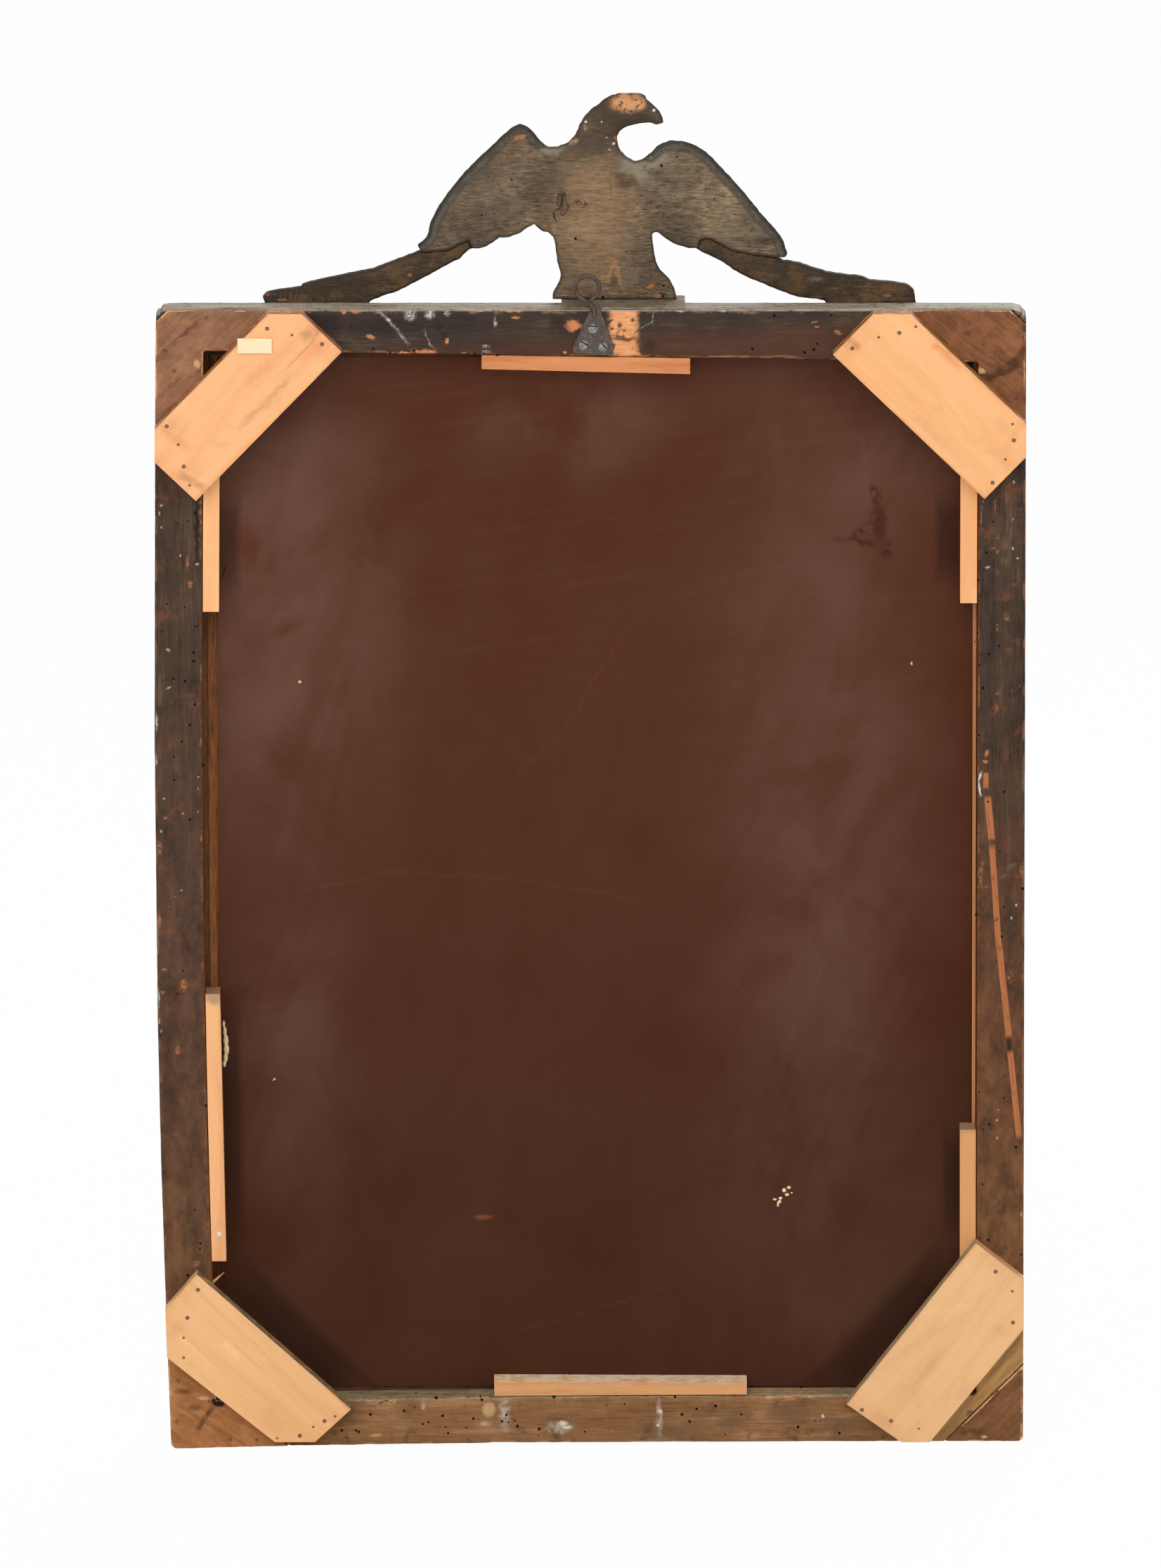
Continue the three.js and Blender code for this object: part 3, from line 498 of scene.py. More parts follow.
# %% A small shape on every point
def new_recipe(name, sizes):
    """A Geometry Nodes tree that takes points, with one named input for each size."""
    recipe = Graph(bpy.data.node_groups.new(name, "GeometryNodeTree"))
    interface = recipe.tree.interface
    interface.new_socket("Points", in_out="INPUT", socket_type="NodeSocketGeometry")
    for size, value in sizes.items():
        interface.new_socket(size, in_out="INPUT", socket_type="NodeSocketFloat").default_value = value
    interface.new_socket("Seed", in_out="INPUT", socket_type="NodeSocketInt")
    interface.new_socket("Material", in_out="INPUT", socket_type="NodeSocketMaterial")
    interface.new_socket("Mesh", in_out="OUTPUT", socket_type="NodeSocketGeometry")
    entry = recipe.tree.nodes.new("NodeGroupInput")
    recipe.given = {socket.name: Value(recipe, socket) for socket in entry.outputs if socket.name}
    return recipe


def scattered(recipe, shape, smallest, largest):
    """Ends a recipe: the shape on every point, each of its own size."""
    size = recipe.node("FunctionNodeRandomValue", {"data_type": "FLOAT"}, {
        2: smallest, 3: largest, "Seed": recipe.given["Seed"]}, out=1)
    spread = recipe.node("GeometryNodeInstanceOnPoints", None, {
        "Points": recipe.given["Points"], "Instance": shape, "Scale": size})
    solid = recipe.node("GeometryNodeRealizeInstances", None, {0: spread})
    coloured = recipe.node("GeometryNodeSetMaterial", None, {
        "Geometry": solid, "Material": recipe.given["Material"]})
    recipe.node("NodeGroupOutput", None, {0: coloured})
    return recipe


def repeated(name, recipe, places, finish, slot, seed, *stands_for, smooth=True):
    """Sets the recipe's shape on the places, which are in the joiner's millimetres."""
    mesh = bpy.data.meshes.new(name)
    mesh.from_pydata([metres(*place) for place in places], [], [])
    rough = bpy.data.objects.new("rough", mesh)
    scene.collection.objects.link(rough)
    modifier = rough.modifiers.new("recipe", "NODES")
    modifier.node_group = recipe.tree
    identifiers = {item.name: item.identifier for item in recipe.tree.interface.items_tree
                   if item.in_out == "INPUT"}
    modifier[identifiers["Seed"]] = seed
    modifier[identifiers["Material"]] = finish.material
    made = bpy.data.meshes.new_from_object(rough.evaluated_get(bpy.context.evaluated_depsgraph_get()))
    bpy.data.objects.remove(rough)
    return place_piece(name, made, finish, slot, *stands_for, smooth=smooth)


# %% Worm holes, nails and beads
hole_recipe = new_recipe("worm_hole", {"Radius": 0.75 * MM, "Depth": 0.5 * MM})
mouth = hole_recipe.node("GeometryNodeMeshCylinder", None, {
    "Vertices": 10, "Radius": hole_recipe.given["Radius"], "Depth": hole_recipe.given["Depth"]})
mouth = hole_recipe.node("GeometryNodeTransform", None, {"Geometry": mouth, "Rotation": (math.pi / 2, 0, 0)})
scattered(hole_recipe, mouth, 0.6, 1.6)

nail_recipe = new_recipe("nail_head", {"Radius": 1.1 * MM})
head = nail_recipe.node("GeometryNodeMeshUVSphere", None, {
    "Segments": 14, "Rings": 7, "Radius": nail_recipe.given["Radius"]})
head = nail_recipe.node("GeometryNodeTransform", None, {"Geometry": head, "Scale": (1, 0.36, 1)})
scattered(nail_recipe, head, 0.85, 1.15)

bead_recipe = new_recipe("bead", {"Radius": 1.5 * MM})
bead = bead_recipe.node("GeometryNodeMeshUVSphere", None, {
    "Segments": 9, "Rings": 5, "Radius": bead_recipe.given["Radius"]})
scattered(bead_recipe, bead, 0.97, 1.03)
print("three recipes are ready")

# %% [markdown]
# ## Old wood that has been knocked about
#
# The rails were sawn and planed by hand long ago. Their faces are nearly flat but their
# edges have lost their sharpness and chips of wood. The drawn solids are exact, so each is
# remeshed finely with the Remesh modifier, and then its points are pressed in a little:
# more where the surface turns a corner, and more at some places than others. How much was
# worn off is kept with each point, so that the finish can be rubbed off there too.

# %% Wear the rails and corner boards
def worn(node, grid, edge_loss, seed):
    """A finely meshed copy of a drawn board, with its edges worn."""
    mesh = finished(merged_copy(node), ("REMESH", {"mode": "VOXEL", "voxel_size": grid * MM}))
    points = points_of(mesh)
    ends = np.empty(len(mesh.edges) * 2, dtype=int)
    mesh.edges.foreach_get("vertices", ends)
    ends = ends.reshape(-1, 2)
    normals = np.empty(len(mesh.vertices) * 3)
    mesh.vertices.foreach_get("normal", normals)
    normals = normals.reshape(-1, 3)
    total, count = np.zeros_like(points), np.zeros(len(points))
    for a, b in ((0, 1), (1, 0)):
        np.add.at(total, ends[:, a], points[ends[:, b]])
        np.add.at(count, ends[:, a], 1)
    outward = ((points - total / count[:, None]) * normals).sum(axis=1) / grid
    corner = np.clip(outward * 3.0, 0, 1)
    for _ in range(2):
        spread = np.zeros(len(points))
        for a, b in ((0, 1), (1, 0)):
            np.add.at(spread, ends[:, a], corner[ends[:, b]])
        corner = np.maximum(corner, 0.75 * spread / count)
    x, z = points[:, 0] + points[:, 1] * 0.6, points[:, 2] + points[:, 1] * 0.8
    chips = np.clip(uneven(x / 9, z / 9, seed) + 0.25, 0, 1) + 0.5 * np.clip(uneven(x / 3, z / 3, seed + 1), 0, 1)
    dents = 0.10 * np.clip(uneven(x / 14, z / 14, seed + 2), 0, 1) + 0.05 * np.clip(uneven(x / 4, z / 4, seed + 3), 0, 1)
    points -= normals * (edge_loss * corner * (0.35 + chips) + dents)[:, None]
    move_points(mesh, points)
    mesh.attributes.new("edge_wear", "FLOAT", "POINT").data.foreach_set("value", corner * (0.3 + chips))
    return mesh


print("wear is ready")

# %% [markdown]
# ## Stained pine
#
# All four rails are the same pine under the same old stain, but each has aged its own way.
# Paint and stain could be drawn as images. Here they are sums of noise, so they can be seen
# from any distance. One function lays the grain and the stain, and each rail then gets its
# own marks, each at its measured place.

# %% Grain and stain
def grain_along(finish, angle, seed, fine=1.0):
    """Two layers of grain, both drawn out along the board: broad bands and fine pores."""
    start = finish.vector("ADD", finish.place, (seed * 37.0, seed * 11.0, seed * 23.0))
    bands = finish.noise(finish.turned(angle, (0.006, 0.09, 0.09), start), 1.0, 4.0, 0.55, 0.6)
    pores = finish.noise(finish.turned(angle, (0.05 * fine, 0.9 * fine, 0.9 * fine), start), 1.0, 5.0, 0.6)
    return bands, pores


def stained_pine(name, angle, dark, middle, light, seed):
    finish = Finish(name, roughness=0.55, Specular_IOR_Level=0.12)
    bands, pores = grain_along(finish, angle, seed)
    clouds = finish.noise(finish.place, 0.02, 6.0, 0.65)
    tone = bands * 0.4 + pores * 0.35 + clouds * 0.45
    colour = finish.mix(tone.between(0.48, 0.6), dark, middle)
    colour = finish.mix(tone.between(0.6, 0.74), colour, light)
    scuffs = finish.noise(finish.turned(angle + 4, (0.05, 0.8, 0.8)), 1.0, 4.0, 0.7).between(0.62, 0.72)
    colour = finish.mix(scuffs * 0.4, colour, light)
    grit = finish.cells(finish.place, 0.28).between(0.1, 0.16)
    colour = finish.mix((1 - grit) * 0.75, colour, dark)
    finish.height = bands * 0.5 + pores * 0.6 + scuffs * 0.15
    return finish, colour


def dust_and_painted_top_light(finish, colour, grey):
    """The faces that look up are painted grey: partly dust, and partly painted light from above."""
    up = finish.facing(2).between(0.35, 0.8)
    weather = finish.noise(finish.turned(0, (0.016, 0.35, 0.35)), 1.0, 6.0, 0.7).between(0.3, 0.7)
    blots = finish.noise(finish.place, 0.07, 5.0, 0.7).between(0.34, 0.5)
    splits = finish.noise(finish.turned(3, (0.02, 1.2, 1.2)), 1.0, 4.0, 0.7).between(0.38, 0.46)
    flaked = finish.noise(finish.place, 0.22, 5.0, 0.75).between(0.37, 0.43)
    dusty_and_lit = finish.times(grey, (weather * 0.8 + 0.55) * (blots * 0.4 + 0.6) * (splits * 0.4 + 0.6) * (flaked * 0.6 + 0.4))
    return finish.mix(up, colour, dusty_and_lit)


def rubbed_edges(finish, colour, bare, amount=0.8):
    """Where an edge is worn, the bare wood shows."""
    rough_wear = finish.noise(finish.place, 0.35, 4.0, 0.65)
    worn_off = (finish.kept("edge_wear") + rough_wear * 0.8).between(0.62, 1.0)
    return finish.mix(worn_off * amount, colour, bare)


def finish_off(finish, colour, strength=0.35):
    finish.feed("Base Color", colour)
    finish.bump(finish.height, strength, 0.0006)
    return finish


OLD_WHITE = paint(226, 224, 214)
BARE_ORANGE = paint(200, 128, 82)
# A grey of dust with painted top light, for the faces that look up.
DUST_AND_TOP_LIGHT_GREY = paint(172, 160, 142)
NEAR_BLACK = paint(26, 18, 14)
print("the stain is mixed")

# %% Top rail
top_finish, colour = stained_pine("stained_top_rail", 0, paint(42, 34, 29), paint(58, 46, 38), paint(88, 69, 55), 1)
reddish = 1 - (top_finish.along(2) + top_finish.along(0) * 0.055).between(863, 880)
colour = top_finish.mix(reddish * 0.7, colour, paint(82, 49, 34))
bare = top_finish.bar(-25, 876, 10.5, 21, 0, 0.3, True).highest(top_finish.spot(-31, 858, 12, 2.4))
patchy = top_finish.noise(top_finish.turned(30, (0.1, 0.2, 0.2)), 1.0, 5.0, 0.7).between(0.37, 0.46)
streaks = top_finish.noise(top_finish.turned(0, (0.05, 0.5, 0.5)), 1.0, 4.0, 0.6)
colour = top_finish.mix(bare * patchy, colour, top_finish.times(paint(220, 152, 102), streaks * 1.2 + 0.42))
orange = top_finish.spots([
    (12.7, 882.2, 6.4, 4.0), (169.8, 872.8, 3.4, 1.5, -20), (110.7, 869.7, 1.4, 2.2), (97.6, 860.3, 1.4, 0.8),
    (184.5, 893.4, 11, 1.6), (85.7, 893.6, 4, 1.2), (58.5, 893.6, 8, 1.5), (58, 888, 3, 1.2),
    (165, 859.4, 13, 1.0), (146, 860, 9, 0.8), (128, 861, 9, 1.7, -6), (20.1, 860.8, 1.5, 1.0),
    (-172.5, 884.7, 2.6, 0.6, 12), (-173.6, 880.8, 1.8, 0.5),
    (-189.9, 876.3, 3.2, 1.2, -20)], soft=0.4)
colour = top_finish.mix(orange * streaks.between(0.3, 0.48), colour, top_finish.times(BARE_ORANGE, streaks * 0.9 + 0.5))
dark = top_finish.spots([(117.2, 880.8, 3.0, 4.2), (112.8, 873.6, 1.8, 2.4), (26, 884, 7, 5), (-45, 866, 5, 5)], 0.6)
colour = top_finish.mix(dark * 0.4, colour, NEAR_BLACK)
gouges = top_finish.spots([(-26, 871.3, 10, 1.8), (-22, 882, 1.6, 2.4), (-32, 886, 1.6, 1.6), (-17, 865, 1.0, 2.6)], 0.5)
colour = top_finish.mix(gouges * 0.85, colour, paint(62, 38, 24))
spilt = top_finish.spots([
    (139.4, 890.4, 4.0, 4.2), (124.2, 890.6, 3.4, 3.4), (110.7, 891.3, 2.0, 2.0), (156.2, 886.3, 2.0, 1.4),
    (74.0, 883.4, 1.3, 1.8), (-68.9, 893.8, 3.0, 1.2), (-101.4, 893.8, 4.0, 1.2)], 0.6)
drips = top_finish.any_of([
    top_finish.path([(163.8, 894), (156.2, 886.3), (149, 878), (142.1, 868.6)], 2.0, 0.9, True),
    top_finish.path([(128, 876.3), (122.1, 865.2)], 1.5, 0.9, True),
    top_finish.path([(73.8, 889), (74.3, 882)], 0.9, 0.8),
    top_finish.bar(80.8, 865.4, 2.8, 1.1, 0, 0.4, True),
    top_finish.bar(80.8, 861.4, 2.8, 1.1, 0, 0.4, True),
    top_finish.path([(-48.3, 895.8), (-47.2, 884.7), (-39.1, 880.2)], 0.8, 0.8)])
rubbed_line = top_finish.bar(-112, 857.6, 36, 0.7, 0.4, 0.6) * streaks.between(0.4, 0.6)
colour = top_finish.mix(rubbed_line * 0.8, colour, paint(176, 112, 70))
splashy = top_finish.noise(top_finish.place, 0.35, 4.0, 0.75).between(0.42, 0.6)
colour = top_finish.mix((spilt * 0.95).highest(drips * 0.5) * (splashy * 0.65 + 0.12), colour, OLD_WHITE)
colour = rubbed_edges(top_finish, colour, paint(150, 112, 80), 0.6)
finish_off(top_finish, dust_and_painted_top_light(top_finish, colour, DUST_AND_TOP_LIGHT_GREY))
place_piece("top_rail_worn", worn("top_rail", 1.5, 0.7, 3), top_finish, "old_stained_pine", "top_rail")

# %% [markdown]
# ## The stiles
#
# The stain is charcoal near the top and lets more of the brown wood through lower down.
# The walls of the rebate, which hold the glass, were never stained. They are found by the
# way they face. Small splashes of whitewash and bare scratches are measured one by one.

# %% Left stile
def lower_down(finish, colour, redder, browner):
    """The stain thins out towards the foot of a stile, in blotches."""
    z = finish.along(2)
    wavy = finish.noise(finish.place, 0.012, 4.0, 0.6) * 260
    mottled = finish.noise(finish.turned(90, (0.03, 0.06, 0.06)), 1.0, 7.0, 0.72).between(0.3, 0.7)
    colour = finish.mix((1 - (z + wavy).between(420, 760)) * 0.75, colour, finish.times(redder, mottled * 1.3 + 0.35))
    colour = finish.mix((1 - (z + wavy).between(260, 520)) * 0.75, colour, finish.times(browner, mottled * 0.9 + 0.55))
    rusty = finish.noise(finish.place, 0.035, 6.0, 0.72)
    colour = finish.mix(rusty.between(0.54, 0.66) * 0.5, colour, paint(122, 74, 48))
    colour = finish.mix((1 - rusty.between(0.34, 0.44)) * 0.55, colour, paint(44, 37, 32))
    nicked = finish.noise(finish.turned(80, (0.12, 0.4, 0.4)), 1.0, 4.0, 0.75).between(0.66, 0.72)
    return finish.mix(nicked * 0.5, colour, paint(150, 118, 92))


def bare_rebate(finish, colour, towards):
    """The unstained wall of the rebate. It faces the glass."""
    wall = (finish.facing(0) * towards).between(0.5, 0.8) * (1 - (finish.along(0) * -towards).between(312, 318))
    rough = finish.noise(finish.turned(90, (0.008, 0.09, 0.09)), 1.0, 4.0, 0.6)
    golden = 1.15 - finish.along(2).between(150, 700) * 0.35
    return finish.mix(wall, colour, finish.times(paint(134, 68, 14), (rough * 0.25 + 0.66) * golden))


left_finish, colour = stained_pine("stained_left_stile", 90, paint(46, 35, 28), paint(70, 52, 40), paint(100, 77, 58), 2)
colour = lower_down(left_finish, colour, paint(86, 58, 43), paint(102, 70, 45))
on_back = left_finish.facing(1).between(0.2, 0.5)
chipped = left_finish.noise(left_finish.place, 0.42, 4.0, 0.7).between(0.4, 0.54)
colour = left_finish.mix(on_back * chipped * left_finish.spots([
    (299.5, 733, 1.6, 14), (311, 694.7, 1.0, 5.5), (309.2, 678.1, 1.8, 2.4), (333.6, 413, 1.6, 5),
    (336, 397, 1.0, 20), (329.8, 374.4, 2, 1.2), (331.2, 356.4, 2, 1.2), (319.5, 310.6, 1.8, 3),
    (305, 141.4, 2.4, 2.0), (315, 362, 2, 5), (333, 470, 1.5, 5), (300.4, 560, 1.0, 12), (300.5, 610, 1.2, 7), (299.8, 480, 1.0, 9)], 0.45) * 0.75,
    colour, paint(176, 112, 70))
colour = left_finish.mix(left_finish.path([(303.6, 743), (303.2, 695)], 2.6, 0.5, True) * 0.85, colour, NEAR_BLACK)
colour = left_finish.mix(left_finish.spots([
    (316.5, 700.9, 1.0, 0.8, 30), (303.4, 694.4, 1.1, 0.9), (331.2, 740.5, 0.9, 0.8), (332.6, 734.2, 0.6, 1.4),
    (331.2, 723.1, 0.8, 0.7), (326.4, 626.8, 1.4, 0.9), (325.8, 596.9, 2.0, 0.6, 30), (303, 526.6, 0.7, 0.7),
    (303.4, 517.5, 0.6, 0.6), (303.3, 499.5, 0.6, 0.6), (315.2, 497.8, 0.7, 0.6), (329.7, 509.6, 0.6, 0.6),
    (328.8, 494.1, 0.8, 0.7), (331.9, 483.7, 0.6, 0.9), (316.5, 437.1, 0.6, 0.5), (321.3, 431.9, 0.5, 0.5),
    (326.4, 424.3, 0.6, 0.5), (333.8, 333.5, 0.6, 2.2), (332.4, 325.9, 0.5, 1.4), (335.2, 570, 0.8, 6),
    (335.4, 540, 0.6, 4), (334.8, 352, 0.6, 8)], 0.5) * (chipped * 0.5 + 0.35) * on_back, colour, paint(186, 180, 168))
colour = rubbed_edges(left_finish, bare_rebate(left_finish, colour, -1), paint(136, 100, 72), 0.55)
finish_off(left_finish, dust_and_painted_top_light(left_finish, colour, DUST_AND_TOP_LIGHT_GREY))
place_piece("left_stile_worn", worn("left_stile", 1.5, 0.7, 13), left_finish, "old_stained_pine", "left_stile")

# %% Right stile
right_finish, colour = stained_pine("stained_right_stile", 90, paint(44, 34, 27), paint(68, 51, 40), paint(100, 76, 57), 4)
colour = lower_down(right_finish, colour, paint(100, 62, 39), paint(112, 75, 45))
peeled = right_finish.any_of([
    right_finish.bar(-304.9, 523.8, 2.0, 6.0, 0, 0.2), right_finish.spot(-305.4, 545.5, 1.6, 2.6, -14),
    right_finish.spot(-304.4, 538.8, 2.2, 1.2), right_finish.bar(-307.8, 494, 16.6, 2.6, 95.5, 0.14),
    right_finish.bar(-312.4, 431.5, 40.5, 2.3, 93.9, 0.1), right_finish.bar(-319.4, 356, 35.4, 2.4, 96, 0.1),
    right_finish.bar(-327.6, 276, 34.2, 2.3, 96, 0.1)])
fibres = right_finish.noise(right_finish.turned(95, (0.04, 0.7, 0.7)), 1.0, 4.0, 0.6)
patchy = right_finish.noise(right_finish.place, 0.12, 5.0, 0.7).between(0.34, 0.44)
colour = right_finish.mix(peeled * (patchy * 0.6 + 0.36) * right_finish.facing(1).between(0.2, 0.5), colour, right_finish.times(paint(178, 108, 66), fibres * 0.8 + 0.55))
colour = right_finish.mix(right_finish.path([(-323, 321), (-323.6, 310)], 3.4, 0.5, True) * 0.8, colour, NEAR_BLACK)
on_back = right_finish.facing(1).between(0.2, 0.5)
chipped = right_finish.noise(right_finish.place, 0.42, 4.0, 0.7).between(0.44, 0.56)
colour = right_finish.mix(on_back * chipped * right_finish.spots([
    (-318.7, 707.9, 2, 1), (-313.3, 703.7, 1, 2.2), (-313.3, 715.5, 1, 2), (-309.9, 707.2, 1.4, 1.2),
    (-313.3, 687.8, 1, 2.4), (-313.7, 593.5, 1.2, 2.4), (-313.3, 581, 1.2, 2), (-313.3, 644.1, 1.0, 3),
    (-326.4, 678.1, 1.6, 1), (-320.5, 653.1, 2.0, 3.4), (-323.9, 368.8, 2.2, 5), (-332.7, 452.7, 1.4, 5),
    (-301.4, 449, 1.6, 9), (-305.8, 439.6, 1.6, 1.0), (-301.2, 733, 0.7, 12), (-311.5, 740, 0.7, 6),
    (-320, 745, 0.8, 5)], 0.45) * 0.65, colour, paint(164, 112, 74))
colour = right_finish.mix(right_finish.spots([
    (-325.9, 759, 0.8, 1.0), (-325.1, 730, 0.5, 1.0), (-325.1, 706.5, 0.6, 1.2), (-328.9, 698.9, 1.0, 0.6), (-305.8, 691.9, 1.4, 0.8), (-298.1, 440.3, 0.9, 2.0),
    (-328.6, 425.7, 0.7, 1.1), (-324.8, 415.3, 0.6, 1.0), (-315.2, 263.5, 0.6, 0.9), (-314.1, 255.1, 0.6, 0.8),
    (-314.4, 241.3, 0.6, 1.0), (-333.1, 180.3, 0.7, 1.5)], 0.5) * 0.75 * on_back, colour, paint(190, 182, 166))
colour = right_finish.mix(right_finish.path(
    [(-301.1, 529.7), (-298.8, 522.1), (-300.8, 513)], 1.3, 0.7, True), colour, paint(222, 214, 198))
colour = right_finish.mix(right_finish.spots([
    (-324.6, 456.2, 3.4, 1.6, 40), (-318.4, 447.9, 3, 1.6, 30)], 0.6) * 0.22, colour, paint(124, 124, 122))
colour = rubbed_edges(right_finish, bare_rebate(right_finish, colour, 1), paint(150, 104, 70), 0.55)
finish_off(right_finish, dust_and_painted_top_light(right_finish, colour, DUST_AND_TOP_LIGHT_GREY))
place_piece("right_stile_worn", worn("right_stile", 1.5, 0.7, 23), right_finish, "old_stained_pine", "right_stile")

# %% [markdown]
# ## The bottom rail
#
# The bottom rail was hardly stained. It stood nearest the floor, so worms, damp and
# whitewash reached it most.

# %% Bottom rail
bottom_finish, colour = stained_pine(
    "stained_bottom_rail", 0, paint(108, 72, 42), paint(134, 94, 59), paint(160, 119, 82), 6)
colour = bottom_finish.mix(bottom_finish.spots([
    (-108.5, 16.6, 10, 7), (-151.9, 22.2, 14, 7), (118, 39, 36, 3.0), (-60, 8, 26, 5), (20, 36, 30, 4),
    (190, 30, 14, 10), (-190, 12, 12, 8)], 0.8) * 0.5, colour, paint(92, 74, 56))
colour = bottom_finish.mix(bottom_finish.spot(79.2, 25.5, 5, 5.6, 0, 0.3), colour, paint(186, 150, 108))
colour = bottom_finish.mix(bottom_finish.spots([
    (-175, 41.8, 19, 1.6, 5), (170.9, 33.3, 3.5, 2), (154.6, 31.6, 3.5, 1.8), (162.8, 41.6, 4.5, 1.5),
    (166.5, 5, 5, 1.4), (-138.3, 36.1, 3, 1.5)], 0.5) * 0.8, colour, paint(196, 140, 94))
white_haze = bottom_finish.spots([
    (67, 24, 3.4, 12), (24.4, 11, 8, 3.6), (-53, 20, 1.8, 12), (82, 14, 3, 1.6), (130, 28, 1.4, 3)], 0.9)
caught = bottom_finish.noise(bottom_finish.place, 0.26, 5.0, 0.7).between(0.36, 0.6)
colour = bottom_finish.mix(white_haze * (caught * 0.5 + 0.12), colour, paint(206, 196, 180))
white_cores = bottom_finish.spots([
    (21.7, 14.4, 3.2, 1.8), (18.6, 11.4, 3.4, 1.2), (-53.7, 24.1, 1.5, 1.5), (-51.8, 12.8, 1.3, 1.1),
    (-179.8, 20.2, 0.8, 1.7)], 0.6)
colour = bottom_finish.mix(white_cores * 0.8, colour, paint(222, 214, 196))
splintered = bottom_finish.spots([(163, 33.5, 9, 4.6), (170, 36, 3, 3)], 0.4)
slivers = bottom_finish.noise(bottom_finish.turned(10, (0.15, 0.6, 0.6)), 1.0, 4.0, 0.7)
colour = bottom_finish.mix(splintered * 0.8, colour, bottom_finish.mix(slivers.between(0.44, 0.56), paint(48, 34, 24), paint(182, 142, 100)))
smudged = bottom_finish.noise(bottom_finish.place, 0.06, 5.0, 0.7).between(0.54, 0.66)
low_down = 1 - bottom_finish.along(2).between(2, 14)
colour = bottom_finish.mix(smudged * 0.35 + low_down * smudged * 0.3, colour, paint(70, 52, 38))
colour = rubbed_edges(bottom_finish, colour, paint(178, 132, 92), 0.6)
colour = dust_and_painted_top_light(bottom_finish, colour, paint(158, 138, 106))
torn = bottom_finish.spot(-163, 42, 42, 7, 3, 0.4) * slivers.between(0.46, 0.54)
finish_off(bottom_finish, bottom_finish.mix(torn * 0.8, colour, paint(206, 160, 112)))
place_piece("bottom_rail_worn", worn("bottom_rail", 1.5, 0.9, 33), bottom_finish, "old_stained_pine", "bottom_rail")

# %% [markdown]
# ## Worm holes
#
# Furniture beetles left round holes in the old wood, about a millimetre and a half wide.
# Each was measured. They could be pressed into the mesh, but that would need a far finer
# net, so a small plug stands in each, painted near black as the shade inside a hole.

# %% Holes
hole_finish = Finish("inside_of_a_worm_hole", roughness=1.0, Specular_IOR_Level=0.05)
crumbs = hole_finish.noise(hole_finish.place, 2.0, 3.0)
# Painted shade: the plugs are near black, standing in for the shade inside each hole.
hole_finish.feed("Base Color", hole_finish.mix(crumbs, paint(14, 8, 5), paint(38, 24, 16)))
hole_finish.bump(crumbs, 0.4, 0.0003)
WORM_HOLES = {
    "top_rail": [
        (-141, 889.7), (-124.2, 863.6), (-164.4, 860.8), (-171.4, 863), (-174.1, 867.5), (-185, 890.2),
        (185.5, 867.5), (167.6, 863.6), (136.2, 862.5), (154.6, 860.8), (184.4, 881.3), (147.6, 878.6),
        (89.5, 859.1), (72.2, 858.6)],
    "left_stile": [
        (318.9, 726.6), (313, 660.4), (321.7, 663.9), (326.9, 663.2), (304.3, 645.1), (306.5, 624.8),
        (306.5, 618), (313.2, 602.2), (322, 604), (305.7, 583.8), (304.7, 734.5), (327.4, 687.9), (311, 728.3),
        (311.7, 689.4), (309.5, 567.8), (316, 554.6), (322, 542.6), (321.7, 524.1), (309.6, 493.1),
        (315.5, 373.4), (319.5, 355.3), (299.3, 535.9), (296.5, 169.6), (302.4, 157.5), (302.7, 153.2),
        (306.4, 184), (315.7, 157.1), (312.3, 132.1), (298.1, 266.8)],
    "right_stile": [
        (-307.5, 742.7), (-309.6, 727.7), (-304.9, 703.4), (-302.7, 688.9), (-298.4, 681.9), (-314.9, 629.9),
        (-306.9, 623.4), (-299.6, 614.8), (-302.3, 596.8), (-310.2, 578.9), (-298, 639.8), (-296, 633.3),
        (-319.1, 514.9), (-315.7, 467.7), (-298.5, 482.7), (-318.9, 423.8), (-317.5, 400.7), (-333.5, 372.9),
        (-333.5, 438.4), (-299.3, 559.6), (-297.5, 417.9), (-319.3, 272.9), (-328.8, 233.9), (-308.1, 251.8),
        (-303.5, 248.1), (-300.3, 277.7), (-311, 191.1), (-307.7, 160.3), (-333.1, 148.6), (-303, 204.5),
        (-302.9, 233.5), (-306.5, 507.2)],
    "bottom_rail": [
        (193.1, 8.9), (182.3, 8.9), (180.1, 7.8), (170.9, 21.6), (144.8, 24.4), (136.2, 27.2), (135.6, 38.8),
        (119.9, 34.9), (115, 20.5), (130.2, 13.9), (125.9, 15.5), (118.8, 12.8), (112.8, 11.6), (110.7, 6.7),
        (96.6, 11.1), (91.1, 18.3), (87.3, 17.7), (85.7, 36.1), (84.6, 33.3), (68.9, 16.1), (65.6, 21.1),
        (64, 15.5), (59.1, 16.6), (57, 12.2), (40.1, 10), (40.7, 4.4), (28.8, 35.5), (28.2, 31.1),
        (30.4, 16.1), (4.9, 7.8), (-11.9, 28.8), (-26, 30), (-44.5, 30), (-65.1, 35.5), (-70.5, 21.6),
        (-76.5, 16.1), (-81.9, 26.1), (-96.6, 28.3), (-116.6, 21.6), (-109, 9.4), (-104.2, 5.5), (-141, 12.2),
        (-160.6, 11.6), (-174.1, 16.6), (-192.6, 6.7), (-162.8, 43.3)],
}
for seed, (node, holes) in enumerate(WORM_HOLES.items()):
    repeated("worm_holes_" + node, hole_recipe, [(x, -0.2, z) for x, z in holes], hole_finish,
             "old_stained_pine", seed, smooth=False)

# %% [markdown]
# ## Corner boards
#
# A thin old board is let into each corner at a slant. It was sawn but never planed or
# stained, so the saw's marks run across it and its edges are pale where they were rubbed.

